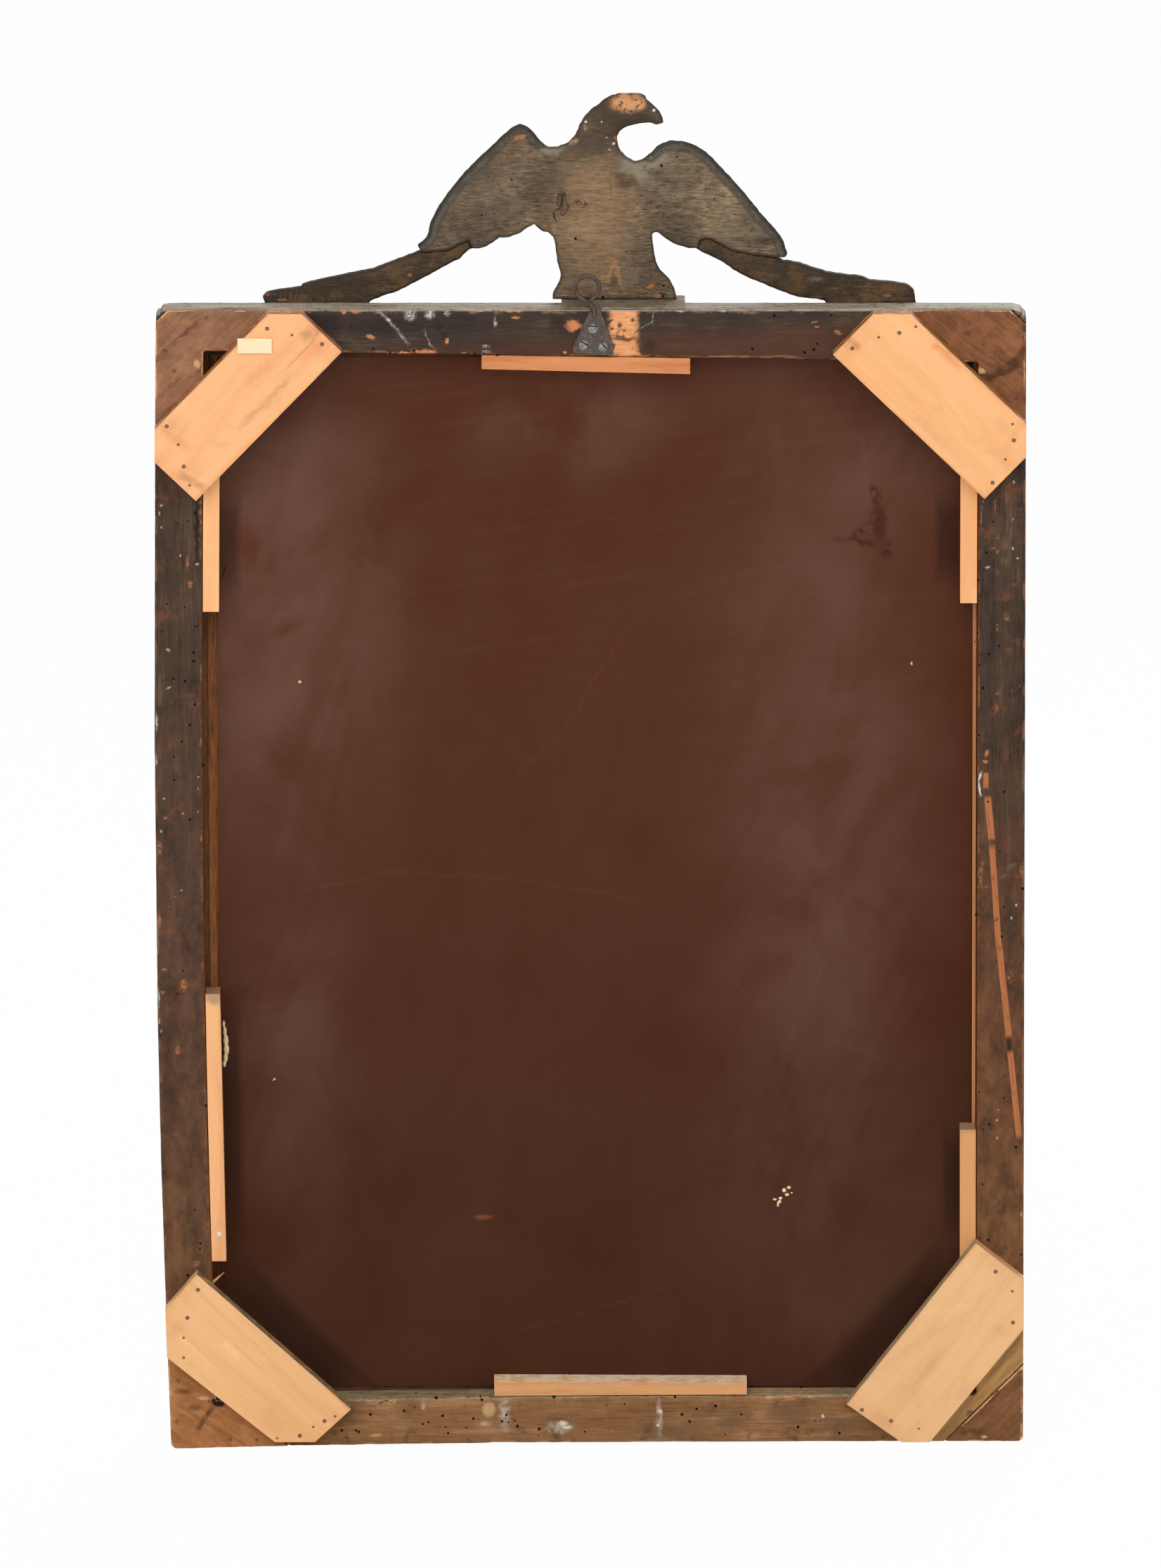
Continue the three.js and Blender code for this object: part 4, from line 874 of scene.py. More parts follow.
# %% Corner boards
def corner_board(name, angle, dark, light, seed):
    finish = Finish("sawn_" + name, roughness=0.6, Specular_IOR_Level=0.12)
    bands, pores = grain_along(finish, angle, seed)
    saw = finish.noise(finish.turned(angle + 6, (0.02, 0.3, 0.3), finish.ragged), 1.0, 4.0, 0.65)
    mottled = finish.noise(finish.place, 0.05, 6.0, 0.7)
    tone = bands * 0.25 + pores * 0.15 + saw * 0.3 + mottled * 0.35
    colour = finish.mix(tone.between(0.4, 0.64), dark, light)
    stained = finish.noise(finish.place, 0.035, 4.0, 0.6).between(0.55, 0.7)
    colour = finish.mix(stained * 0.45, colour, dark)
    finish.height = saw + pores * 0.4
    return finish, colour


CORNER_BOARDS = {
    "top_left": (38, paint(116, 80, 58), paint(164, 116, 84), 1),
    "top_right": (-42, paint(98, 60, 36), paint(150, 98, 64), 2),
    "bottom_left": (-38, paint(140, 88, 48), paint(182, 128, 82), 3),
    "bottom_right": (40, paint(98, 64, 38), paint(134, 90, 56), 4),
}
CORNER_STAINS = {
    "top_left": [(312, 876, 14, 1.6, 40), (328, 862, 2, 1.4), (296, 888, 1.6, 1.4), (321, 846, 1.4, 1.6)],
    "top_right": [(-333.5, 878, 1.2, 10), (-290, 876, 3, 2), (-300, 846, 4, 3),
                  (-327.1, 824.6, 1.6, 1.6)],
    "bottom_left": [(307, 27, 5, 2.4), (316, 40, 6, 2), (320, 48, 1.6, 1.6), (321, 16, 1.6, 1.4),
                    (280, 1.5, 1.6, 1.6), (259, 1.5, 1.6, 1.4), (296, 32, 1.4, 1.2)],
    "bottom_right": [(-310, 34, 12, 1.4, 40), (-322, 60, 3, 10), (-296, 8, 10, 2)],
}
CORNER_CHIPS = {
    "top_left": [(303.3, 851.6, 2.2, 3.4, 20)],
    "top_right": [(-299.5, 846.5, 4.2, 2.2, -15)],
    "bottom_left": [(300, 34.5, 4.5, 1.4, 0)],
    "bottom_right": [(-305, 3.8, 2.2, 1.0)],
}
CORNER_DRIPS = {
    "top_right": [([(-301.3, 840.1), (-320.1, 848.6), (-330, 858), (-334.7, 865.7)], 5),
                  ([(-307.6, 840.1), (-320, 844), (-330.5, 852.9)], 3)],
    "bottom_left": [([(293, 27.7), (299, 19), (304.8, 9.4)], 3.4)],
}
for corner, (angle, dark, light, seed) in CORNER_BOARDS.items():
    board_finish, colour = corner_board(corner, angle, dark, light, seed)
    colour = board_finish.mix(board_finish.spots(CORNER_STAINS[corner], 0.7) * 0.6, colour, paint(66, 42, 28))
    for points, wide in CORNER_DRIPS.get(corner, []):
        colour = board_finish.mix(board_finish.path(points, wide, 0.8, True) * 0.7, colour, paint(60, 36, 22))
    colour = board_finish.mix(board_finish.spots(CORNER_CHIPS[corner], 0.4), colour, paint(204, 160, 114))
    # A hole beside the batten on this corner is painted near black, as painted shade.
    if corner == "bottom_left":
        colour = board_finish.mix(board_finish.spot(288.9, 31, 5.4, 3.4, -20, 0.3), colour, NEAR_BLACK)
    colour = rubbed_edges(board_finish, colour, paint(214, 160, 112), 1.0)
    finish_off(board_finish, dust_and_painted_top_light(board_finish, colour, paint(150, 128, 104)))
    node = "corner_plate_" + corner
    place_piece(node + "_worn", worn(node, 1.0, 0.4, 40 + seed), board_finish, "old_bare_wood", node)

brace_finish = Finish("olive_varnished_wood", roughness=0.42)
bands, pores = grain_along(brace_finish, 50, 9)
colour = brace_finish.mix((bands * 0.5 + pores * 0.5).between(0.4, 0.62), paint(142, 102, 44), paint(186, 140, 74))
cracks = brace_finish.noise(brace_finish.turned(50, (0.03, 1.0, 1.0)), 1.0, 4.0, 0.6).between(0.62, 0.68)
colour = brace_finish.mix(cracks * 0.5, colour, paint(70, 50, 24))
colour = brace_finish.mix(brace_finish.spot(-293.5, 22.5, 2.8, 2.0, 40, 0.5) * 0.8, colour, paint(62, 44, 24))
brace_finish.height = pores - cracks
finish_off(brace_finish, rubbed_edges(brace_finish, colour, paint(206, 176, 116)))
place_piece("brace_strip_worn", worn("brace_strip_bottom_right", 1.0, 0.3, 50), brace_finish, "olive_old_wood",
            "brace_strip_bottom_right")

# %% [markdown]
# ## New pine
#
# The battens and slips are a later repair in clean pale pine. Their grain is faint and very
# even. They keep their crisp sawn edges, so a copy of the drawn shape only needs its edges
# eased with a small bevel. Their sides carry dirt from the saw and from fingers, together
# with painted light and shade.

# %% Eased boards
def eased(node, radius=0.45, foot=0.0):
    """A copy of a drawn piece with its edges rounded a little, and perhaps its foot cut shorter."""
    copy = merged_copy(node)
    points = points_of(copy)
    if foot:
        points[:, 2] = np.maximum(points[:, 2], foot)
        move_points(copy, points)
    return finished(copy, ("BEVEL", {
        "width": radius * MM, "segments": 2, "limit_method": "ANGLE", "angle_limit": math.radians(35)}))


def new_pine(name, angle, pale, deep, seed):
    finish = Finish(name, roughness=0.5, Specular_IOR_Level=0.15)
    bands, pores = grain_along(finish, angle, seed, 1.4)
    tone = bands * 0.7 + pores * 0.3
    colour = finish.mix(tone.between(0.4, 0.58), deep, pale)
    flecks = finish.noise(finish.turned(angle, (0.12, 3.0, 3.0)), 1.0, 2.0, 0.5).between(0.64, 0.72)
    colour = finish.mix(flecks * 0.12, colour, paint(186, 122, 78))
    soiled = finish.noise(finish.place, 0.03, 5.0, 0.65).between(0.6, 0.76)
    colour = finish.mix(soiled * 0.16, colour, paint(170, 118, 84))
    finish.height = pores + bands * 0.4
    return finish, colour


def lay_of(node, angle):
    """The middle and the half sizes of a board's back face, along and across its lean."""
    points = points_of(frame["nodes"][node].data)
    points = points[points[:, 1] > points[:, 1].max() - 0.05][:, ::2]
    turn = math.radians(angle)
    along, across = np.array([-math.cos(turn), math.sin(turn)]), np.array([math.sin(turn), math.cos(turn)])
    ends = [(points @ axis).min() for axis in (along, across)], [(points @ axis).max() for axis in (along, across)]
    middle, half = (np.array(ends[0]) + ends[1]) / 2, (np.array(ends[1]) - ends[0]) / 2
    x, z = middle[0] * along + middle[1] * across
    return x, z, half[0], half[1]


def sides_dirt_and_painted_light(finish, colour, side_dirt_and_light, towards=0):
    """The sawn sides get a colour of their own: partly grey dirt, and partly painted light and shade, darker where a
    side lies in shade and lighter where it faces up to the light. The back face keeps its own colour.
    """
    side = 1 - finish.facing(1).between(0.25, 0.6)
    if towards:
        side = side * (finish.facing(0) * towards).between(-0.2, 0.3)
    smudges = finish.noise(finish.place, 0.12, 4.0, 0.65).between(0.36, 0.56)
    return finish.mix(side * (smudges * 0.6 + 0.4), colour, side_dirt_and_light)


SHADE = paint(172, 116, 72)
# Each batten's third colour is for its sawn sides: grey dirt together with painted shade, as the sides lie in shade.
BATTENS = {
    "top_left": (46, paint(246, 182, 130), paint(238, 172, 118), paint(158, 104, 68), 1),
    "top_right": (-44, paint(244, 182, 126), paint(238, 174, 117), paint(150, 98, 62), 2),
    "bottom_left": (-43, paint(238, 184, 130), paint(230, 174, 118), paint(126, 108, 80), 3),
    "bottom_right": (52, paint(233, 184, 132), paint(226, 175, 122), paint(160, 142, 106), 4),
}
CRACKS = {
    "top_left": [[(232.7, 852.8), (215.9, 870.5), (208.9, 882.2)]],
    "top_right": [[(-192.6, 859.4), (-236, 816), (-281.6, 769.6)]],
    "bottom_left": [],
    "bottom_right": [],
}
STAINS = {
    "top_left": [(247, 823, 17, 2.6, 40), (322, 806, 9, 14, 46), (308, 770, 12, 5, 46), (212, 868, 5, 16, 46),
                 (262, 842, 20, 2.2, 46), (286, 792, 6, 3)],
    "top_right": [(-276.7, 861, 5, 5), (-203, 868, 4, 9, -44), (-317, 806, 10, 4, -44), (-262, 802, 22, 2.6, -44)],
    "bottom_left": [(322, 92, 5, 9, -43), (246, 22, 12, 5, -43), (311, 66, 2, 1.6), (296, 40, 16, 2, -43)],
    "bottom_right": [(-228, 20, 5, 11, 52), (-262, 62, 16, 3, 50), (-318, 92, 7, 4), (-290, 44, 9, 4, 50)],
}
PALE, REDDISH, BROWN = paint(255, 212, 166), paint(228, 132, 80), paint(150, 92, 54)
SAWN_FOOT = 3.4
SMEARS = {
    "top_left": [
        ([(206, 884), (214, 880), (222, 876)], 7, 0.4, BROWN), ([(224, 860), (214, 866), (206, 874)], 8, 0.3, REDDISH),
        ([(262, 842), (244, 858), (228, 872)], 9, 0.22, REDDISH), ([(332, 806), (322, 798), (310, 790)], 5, 0.35, REDDISH),
        ([(316, 768), (306, 762), (298, 758)], 5, 0.4, BROWN), ([(270, 806), (250, 826), (232, 845)], 4, 0.3, SHADE)],
    "top_right": [
        ([(-230.3, 890.6), (-262, 846), (-299.2, 794.7)], 3.6, 0.14, PALE),
        ([(-264, 872), (-270, 863), (-276, 858), (-283, 852)], 4, 0.4, REDDISH),
        ([(-262, 868), (-268, 868), (-276, 862)], 3, 0.45, REDDISH),
        ([(-196, 876), (-201, 872), (-206, 868)], 4, 0.4, BROWN), ([(-318, 786), (-334, 812)], 6, 0.14, BROWN)],
    "bottom_right": [
        ([(-218, 56), (-236, 72), (-258, 86), (-284, 103)], 5, 0.1, SHADE), ([(-238, 103), (-296, 112)], 5, 0.12, PALE)],
    "bottom_left": [([(284, 82), (279, 77), (273, 71)], 5, 0.3, PALE), ([(318, 88), (300, 70), (290, 60)], 2, 0.25, PALE)],
}
for corner, (angle, pale, deep, side_dirt_and_light, seed) in BATTENS.items():
    batten_finish, colour = new_pine("pine_batten_" + corner, angle, pale, deep, seed)
    colour = batten_finish.mix(batten_finish.spots(STAINS[corner], 0.85) * 0.16, colour, SHADE)
    for points, wide, strength, tint in SMEARS.get(corner, []):
        colour = batten_finish.mix(batten_finish.path(points, wide, 0.8, True) * strength, colour, tint)
    for crack in CRACKS[corner]:
        faint = 0.5 if corner == "top_left" else 0.2
        colour = batten_finish.mix(batten_finish.path(crack, 0.6, 0.7) * faint, colour, paint(140, 88, 52))
    x, z, half_length, half_width = lay_of("batten_" + corner, angle)
    soft = 1.6 / half_width
    sawn_edge = 1 - batten_finish.bar(x, z, half_length * 2, half_width - 1.2, angle, soft)
    handled = batten_finish.noise(batten_finish.place, 0.04, 5.0, 0.7).between(0.36, 0.6)
    colour = batten_finish.mix(sawn_edge * handled * 0.55, colour, paint(186, 118, 74))
    dirty_end = 1 - batten_finish.bar(x, z, half_length - 6, half_width * 2, angle, 0.14, True)
    colour = batten_finish.mix(dirty_end * handled * 0.3, colour, paint(196, 124, 84))
    towards = {"bottom_left": -1, "bottom_right": 1}.get(corner, 0)
    finish_off(batten_finish, sides_dirt_and_painted_light(batten_finish, colour, side_dirt_and_light, towards), 0.12)
    node = "batten_" + corner
    place_piece(node + "_eased", eased(node, 0.45, SAWN_FOOT), batten_finish, "new_pine", node, smooth=False)

# %% Slips and lath
# Each slip's third colour is for its sawn sides and ends: dirt together with painted light and shade; on the top and
# bottom slips it is lighter than the wood, as painted light.
SLIPS = {
    "slip_left_upper": (90, paint(250, 188, 134), paint(243, 177, 122), paint(196, 138, 92)),
    "slip_left_lower": (90, paint(242, 180, 126), paint(228, 164, 112), paint(176, 130, 90)),
    "slip_right_upper": (90, paint(242, 178, 124), paint(234, 168, 112), paint(150, 100, 62)),
    "slip_right_lower": (90, paint(214, 154, 102), paint(204, 142, 92), paint(176, 148, 112)),
    "slip_top": (0, paint(212, 140, 90), paint(192, 120, 73), paint(248, 166, 102)),
    "slip_bottom": (0, paint(216, 157, 106), paint(204, 143, 92), paint(255, 230, 190)),
    "spacer_lath": (90, paint(196, 138, 92), paint(180, 122, 80), paint(140, 96, 62)),
}
for seed, (node, (angle, pale, deep, side_dirt_and_light)) in enumerate(SLIPS.items()):
    slip_finish, colour = new_pine("pine_" + node, angle, pale, deep, 7 + seed)
    if node == "slip_left_lower":
        colour = slip_finish.mix(slip_finish.spot(287.9, 165.1, 1.3, 1.5), colour, OLD_WHITE)
        colour = slip_finish.mix(slip_finish.spot(290, 353, 9, 6) * 0.7, colour, paint(150, 128, 104))
    if node == "slip_right_lower":
        colour = slip_finish.mix(slip_finish.spot(-292, 247, 9, 2.6) * 0.5, colour, paint(176, 134, 98))
    if node == "slip_bottom":
        colour = slip_finish.mix(slip_finish.spots([(18.4, 51, 2.4, 1.2), (-67.8, 52, 2.0, 1.2)]), colour, SHADE)
    finish_off(slip_finish, sides_dirt_and_painted_light(slip_finish, colour, side_dirt_and_light), 0.15)
    place_piece(node + "_eased", eased(node, 0.35), slip_finish, "slip_pine", node, smooth=False)

# %% [markdown]
# ## The glass
#
# From behind, an old mirror shows the brown paint that protects its silver, with a grey
# haze where the paint has gone dull. From the front it shows the silver. It is one sheet,
# so one finish does both: where it lies in depth decides. The two sides could be two
# pieces, but then a gap between them might show at the edge.

# %% Mirror plate
glass_finish = Finish("silvered_and_painted_glass", roughness=0.42, Specular_IOR_Level=0.06)
front = 1 - glass_finish.along(1).between(-29.2, -28.8)
height = glass_finish.along(2)
colour = glass_finish.mix(height.between(80, 700), paint(66, 34, 19), paint(78, 40, 23))
wisps = glass_finish.noise(glass_finish.turned(72, (0.004, 0.014, 0.014)), 1.0, 5.0, 0.6, 0.8)
clouds = glass_finish.noise(glass_finish.place, 0.009, 5.0, 0.6, 0.4)
hazy = glass_finish.any_of([
    glass_finish.spot(238, 660, 66, 190, 0, 0.9), glass_finish.spot(-178, 480, 66, 330, 0, 0.95) * 0.7,
    glass_finish.spot(-195, 770, 70, 55, 0, 0.9) * 0.75, glass_finish.spot(20, 800, 60, 34, 0, 0.9),
    glass_finish.spot(230, 330, 40, 150, 0, 0.9) * 0.5])
haze = (hazy * 0.75 + 0.14) * (wisps * 0.5 + clouds * 0.7).between(0.36, 0.82)
colour = glass_finish.mix(haze * 1.1, colour, paint(104, 74, 60))
wiped = glass_finish.noise(glass_finish.turned(8, (0.01, 0.12, 0.12)), 1.0, 5.0, 0.65).between(0.5, 0.7)
colour = glass_finish.mix(wiped * glass_finish.along(2).between(350, 700) * 0.06, colour, paint(118, 86, 70))
dust = glass_finish.noise(glass_finish.place, 0.5, 2.0, 0.7).between(0.74, 0.78)
colour = glass_finish.mix(dust * 0.4, colour, paint(140, 112, 92))
reddish = glass_finish.spots([(262, 700, 12, 22, 20), (248, 668, 14, 8), (232, 640, 16, 5, 20), (205, 612, 10, 6)], 0.8)
colour = glass_finish.mix(reddish * wisps.between(0.4, 0.6) * 0.8, colour, paint(86, 42, 27))
smear = glass_finish.spots([(-212, 716, 14, 3.2, 32), (-222, 722, 5, 16, 6), (-206, 706, 15, 2.8, -6), (-228, 700, 5, 7),
                            (-219, 742, 3.5, 9, 10)], 0.7)
torn = glass_finish.noise(glass_finish.place, 0.1, 4.0, 0.65).between(0.4, 0.5)
colour = glass_finish.mix(smear * torn * 0.9, colour, paint(68, 34, 20))
faint = glass_finish.any_of([
    glass_finish.path([(72, 78), (20, 92), (-58, 116)], 1.0, 0.9, True),
    glass_finish.path([(230, 430), (150, 446), (60, 440), (-40, 424)], 1.4, 0.95, True),
    glass_finish.path([(60, 520), (20, 560), (-30, 640)], 1.6, 0.95, True),
    glass_finish.path([(-90, 380), (-140, 330), (-220, 300)], 1.2, 0.95, True)])
colour = glass_finish.mix(faint * 0.12, colour, paint(124, 78, 56))
colour = glass_finish.mix(glass_finish.spot(83.2, 172.2, 6, 1.8, 0, 0.7) * torn, colour, paint(120, 66, 44))
specks = glass_finish.spots([(225, 596, 0.9, 0.9), (245.2, 281.6, 0.9, 0.9), (-247.4, 610.7, 0.8, 1.3)], 0.4)
colour = glass_finish.mix(specks, colour, paint(216, 190, 150))
near_edge = 1 - glass_finish.bar(-3, 445, 262, 378, 0, 0.08, True)
foxed = near_edge * glass_finish.noise(glass_finish.place, 0.09, 6.0, 0.75).between(0.52, 0.66)
silver = glass_finish.mix(foxed * 0.7, paint(226, 230, 230), paint(140, 128, 110))
# Painted shadow: the glass paint is darkened beside the slips and the lower battens, where the wood shades it.
painted_shadow_beside_wood = glass_finish.any_of([
    glass_finish.line((281, 735), (281, 672), 18, 0.5), glass_finish.line((280.5, 332), (277.5, 165), 16, 0.5),
    glass_finish.line((-276, 738), (-276, 680), 18, 0.5), glass_finish.line((-279.5, 238), (-281, 165), 14, 0.5),
    glass_finish.line((272, 124), (186, 38), 26, 0.5), glass_finish.line((-272, 134), (-184, 38), 26, 0.5)])
colour = glass_finish.mix(painted_shadow_beside_wood * 0.55, colour, paint(34, 17, 9))
glass_finish.feed("Base Color", glass_finish.mix(front, colour, silver))
glass_finish.feed("Metallic", front)
glass_finish.feed("Roughness", front * -0.4 + wisps * 0.1 + 0.42 - front * (wisps * 0.1))
wear(glass_finish, "mirror_plate")

# %% [markdown]
# ## Spilt plaster, glue and splinters
#
# Some crumbs of plaster and a run of glue lie on the glass, and two splinters stick out of
# the wood. Such lumps have no plain shape. A few balls are set side by side and remeshed
# into one skin.

# %% Lumps
def lumps(name, balls, grid, finish, slot):
    """One closed skin round some balls, each given as its middle and its three half sizes."""
    heap = bmesh.new()
    for middle, sizes in balls:
        ball = bmesh.ops.create_icosphere(heap, subdivisions=2, radius=1.0)
        for vert in ball["verts"]:
            vert.co = metres(*(m + s * c for m, s, c in zip(middle, sizes, vert.co)))
    mesh = bpy.data.meshes.new(name)
    heap.to_mesh(mesh)
    heap.free()
    mesh = finished(mesh, ("REMESH", {"mode": "VOXEL", "voxel_size": grid * MM}), ("SMOOTH", {"iterations": 2}))
    return place_piece(name, mesh, finish, slot)


plaster_finish = Finish("spilt_plaster", roughness=0.8)
grit = plaster_finish.noise(plaster_finish.place, 1.2, 4.0, 0.7)
plaster_finish.feed("Base Color", plaster_finish.mix(grit.between(0.35, 0.65), paint(206, 182, 132), paint(240, 226, 186)))
plaster_finish.bump(grit, 0.5, 0.0005)
crumbs = [(-153.4, 195.8, 1.7, 1.4), (-149.7, 193.6, 1.8, 1.9), (-151.9, 190.1, 1.9, 1.3), (-146.9, 187.4, 1.7, 1.2),
          (-144.9, 182.5, 1.0, 2.4), (-142.5, 186.4, 1.8, 1.0), (-146.2, 184.6, 1.6, 1.5), (-155.6, 191.6, 0.9, 0.8)]
lumps("plaster_crumbs", [((x, -26.9, z), (wide, 0.7, high)) for x, z, wide, high in crumbs],
      0.35, plaster_finish, "cork")
glue = [(284.2, 326, 1.2, 3.2), (283.4, 320, 1.6, 4.2), (282.6, 313, 2.2, 5.0), (282.2, 306, 2.3, 5.2),
        (282.8, 299.5, 1.9, 4.2), (283.8, 294.5, 1.4, 3.0)]
lumps("glue_run", [((x, -24.4, z), (wide, 3.4, high)) for x, z, wide, high in glue], 0.6, plaster_finish, "cork")


def splinter(name, places, widths, finish, slot):
    """A thin three-sided sliver of wood through some places."""
    rows = []
    for place, width in zip(places, widths):
        rows.append([metres(place[0] + width * math.cos(a), place[1] + width * math.sin(a), place[2])
                     for a in (0.3, 2.4, 4.5)])
    faces = [(2, 1, 0), (3 * len(rows) - 3, 3 * len(rows) - 2, 3 * len(rows) - 1)]
    for i in range(len(rows) - 1):
        for j in range(3):
            k = (j + 1) % 3
            faces.append((3 * i + j, 3 * i + k, 3 * i + 3 + k, 3 * i + 3 + j))
    mesh = bpy.data.meshes.new(name)
    mesh.from_pydata([p for row in rows for p in row], [], faces)
    shell = bmesh.new()
    shell.from_mesh(mesh)
    bmesh.ops.recalc_face_normals(shell, faces=shell.faces)
    shell.to_mesh(mesh)
    shell.free()
    return place_piece(name, mesh, finish, slot, smooth=False)


splinter_finish, colour = new_pine("fresh_splinter", 45, paint(232, 178, 128), paint(212, 150, 104), 31)
finish_off(splinter_finish, colour, 0.3)
splinter("splinter_low", [(298.5, -10, 119), (291, -9, 126.5), (284, -7.5, 133)], [2.2, 1.6, 0.25],
         splinter_finish, "new_pine")
splinter("splinter_high", [(286.2, -12, 681), (283.4, -9, 684.5), (282.6, -7.5, 689), (281.4, -7, 693)],
         [0.5, 0.4, 0.35, 0.15], hole_finish, "old_stained_pine")

# %% [markdown]
# ## Iron, steel and cork
#
# The hanger is forged iron, gone brown-black, and its three screws are newer bright steel
# that has dulled. Rust is two noises of different size. A small pad of cork keeps the frame
# off the wall.

# %% Hanger and screws
iron_finish = Finish("forged_iron", roughness=0.5, metallic=0.6)
rust = iron_finish.noise(iron_finish.place, 0.35, 5.0, 0.65)
pitted = iron_finish.noise(iron_finish.place, 1.4, 4.0, 0.7)
iron_finish.feed("Base Color", iron_finish.mix(rust.between(0.4, 0.7), paint(66, 60, 55), paint(104, 82, 64)))
iron_finish.feed("Roughness", pitted * 0.4 + 0.3)
iron_finish.bump(rust * 0.6 + pitted * 0.5, 0.6, 0.0006)
wear(iron_finish, "hanger")

SCREW_SLOTS = [(-1.5, 881.7, 0), (5.6, 868.7, -30), (-9.4, 867.2, -50)]
steel_finish = Finish("dull_steel", roughness=0.4, metallic=0.6)
scuffs = steel_finish.noise(steel_finish.place, 0.5, 3.0, 0.6)
colour = steel_finish.mix(scuffs.between(0.35, 0.7), paint(104, 103, 100), paint(150, 148, 145))
# The slots are painted near black: painted shade in the recess of each slot.
slots = steel_finish.any_of([steel_finish.bar(x, z, 4.2, 0.55, turn) for x, z, turn in SCREW_SLOTS])
steel_finish.feed("Base Color", steel_finish.mix(slots, colour, paint(30, 27, 25)))
steel_finish.bump(scuffs, 0.15, 0.0003)
for i in (1, 2, 3):
    wear(steel_finish, f"hanger_screw_{i}")

# %% [markdown]
# ## Nails
#
# The battens are held by small wire nails, and others were driven in and pulled again over
# the years. The drawn nails only need a finish. The rest are scattered by the nail recipe at
# the places where they were seen.

# %% Nails
nail_finish = Finish("dark_nail", roughness=0.6, metallic=0.15)
tarnish = nail_finish.noise(nail_finish.place, 1.5, 3.0)
nail_finish.feed("Base Color", nail_finish.mix(tarnish, paint(84, 64, 50), paint(140, 116, 96)))
nail_finish.bump(tarnish, 0.3, 0.0003)
for node in frame["nodes"]:
    if node.startswith("nail_"):
        wear(nail_finish, node)
BATTEN_FACE = 17.0
OTHER_NAILS = [
    (230.1, 877.7), (317.7, 791.7), (309.0, 759.8), (-249.8, 884.3), (-221.3, 876.0), (-324.4, 807.8), (-319.0, 780.1),
    (315.4, 86.4), (315.4, 70.7), (198.2, 24.0), (215.0, 15.7), (243.1, 6.6), (-326.1, 123.4), (-253.9, 14.2)]
repeated("nails_in_battens", nail_recipe, [(x, BATTEN_FACE, z) for x, z in OTHER_NAILS], nail_finish, "nail_iron", 5)

# %% Cork pad
cork_finish = Finish("pale_cork", roughness=0.85)
grit = cork_finish.noise(cork_finish.place, 1.6, 4.0, 0.7)
cork_finish.feed("Base Color", cork_finish.mix(grit.between(0.3, 0.7), paint(238, 212, 168), paint(252, 230, 192)))
cork_finish.bump(grit, 0.4, 0.0004)
place_piece("cork_pad_worn", worn("cork_pad", 0.5, 0.5, 71), cork_finish, "cork", "cork_pad")

dowel_finish, colour = corner_board("dowels", 90, paint(98, 60, 36), paint(150, 98, 64), 6)
finish_off(dowel_finish, colour)
for i in (1, 2):
    wear(dowel_finish, f"crest_dowel_{i}")

# %% [markdown]
# ## Gilding
#
# In front the frame is gilded: gold leaf over red clay, which shows where the leaf is
# rubbed through. The leaf is metal and the clay is not, so one mask drives the colour, the
# Metallic and the Roughness together. Behind, every gilded piece is bare wood. Which way
# the surface faces tells the two apart.

# %% Leaf over clay
def leaf_over_clay(finish):
    """The colour of worn gilding, and where its metal still is."""
    leaf = finish.noise(finish.place, 0.06, 5.0, 0.6)
    gold = finish.mix(leaf.between(0.35, 0.7), paint(184, 134, 60), paint(228, 184, 104))
    grimy = finish.noise(finish.place, 0.03, 5.0, 0.65).between(0.5, 0.72)
    gold = finish.mix(grimy * 0.45, gold, paint(112, 78, 38))
    through = finish.noise(finish.place, 0.11, 6.0, 0.68).between(0.61, 0.67)
    return finish.mix(through, gold, paint(118, 50, 34)), 1 - through, leaf


def gilded_in_front(finish, colour, bare_until=0.05):
    """Gold leaf on what faces forwards and sideways, and bare wood on what faces back."""
    gold, metal, leaf = leaf_over_clay(finish)
    gilt = (finish.facing(1) * -1).between(bare_until, bare_until + 0.3)
    finish.feed("Base Color", finish.mix(gilt, colour, gold))
    finish.feed("Metallic", gilt * metal)
    finish.feed("Roughness", 0.72 - gilt * metal * 0.4)
    finish.bump(finish.height * (1 - gilt) + gilt * leaf * 0.5 + gilt * metal * 0.3, 0.45, 0.0008)


def old_bare_wood(name, dark, middle, angle, seed):
    finish = Finish(name, roughness=0.7, Specular_IOR_Level=0.3)
    bands, pores = grain_along(finish, angle, seed, 1.2)
    tone = bands * 0.5 + pores * 0.5
    finish.height = pores + bands * 0.4
    return finish, finish.mix(tone.between(0.38, 0.64), dark, middle)


for side, angle in (("top", 0), ("bottom", 0), ("left", 90), ("right", 90)):
    moulding_finish, colour = old_bare_wood(
        "gilded_moulding_" + side, paint(62, 38, 20), paint(116, 74, 40), angle, 61)
    gilded_in_front(moulding_finish, colour, -0.6)
    wear(moulding_finish, "moulding_" + side)

# %% [markdown]
# ## The black slip
#
# Between the gilding and the glass runs a narrow reeded slip, stained black like ebony and
# polished. Its back is bare wood.

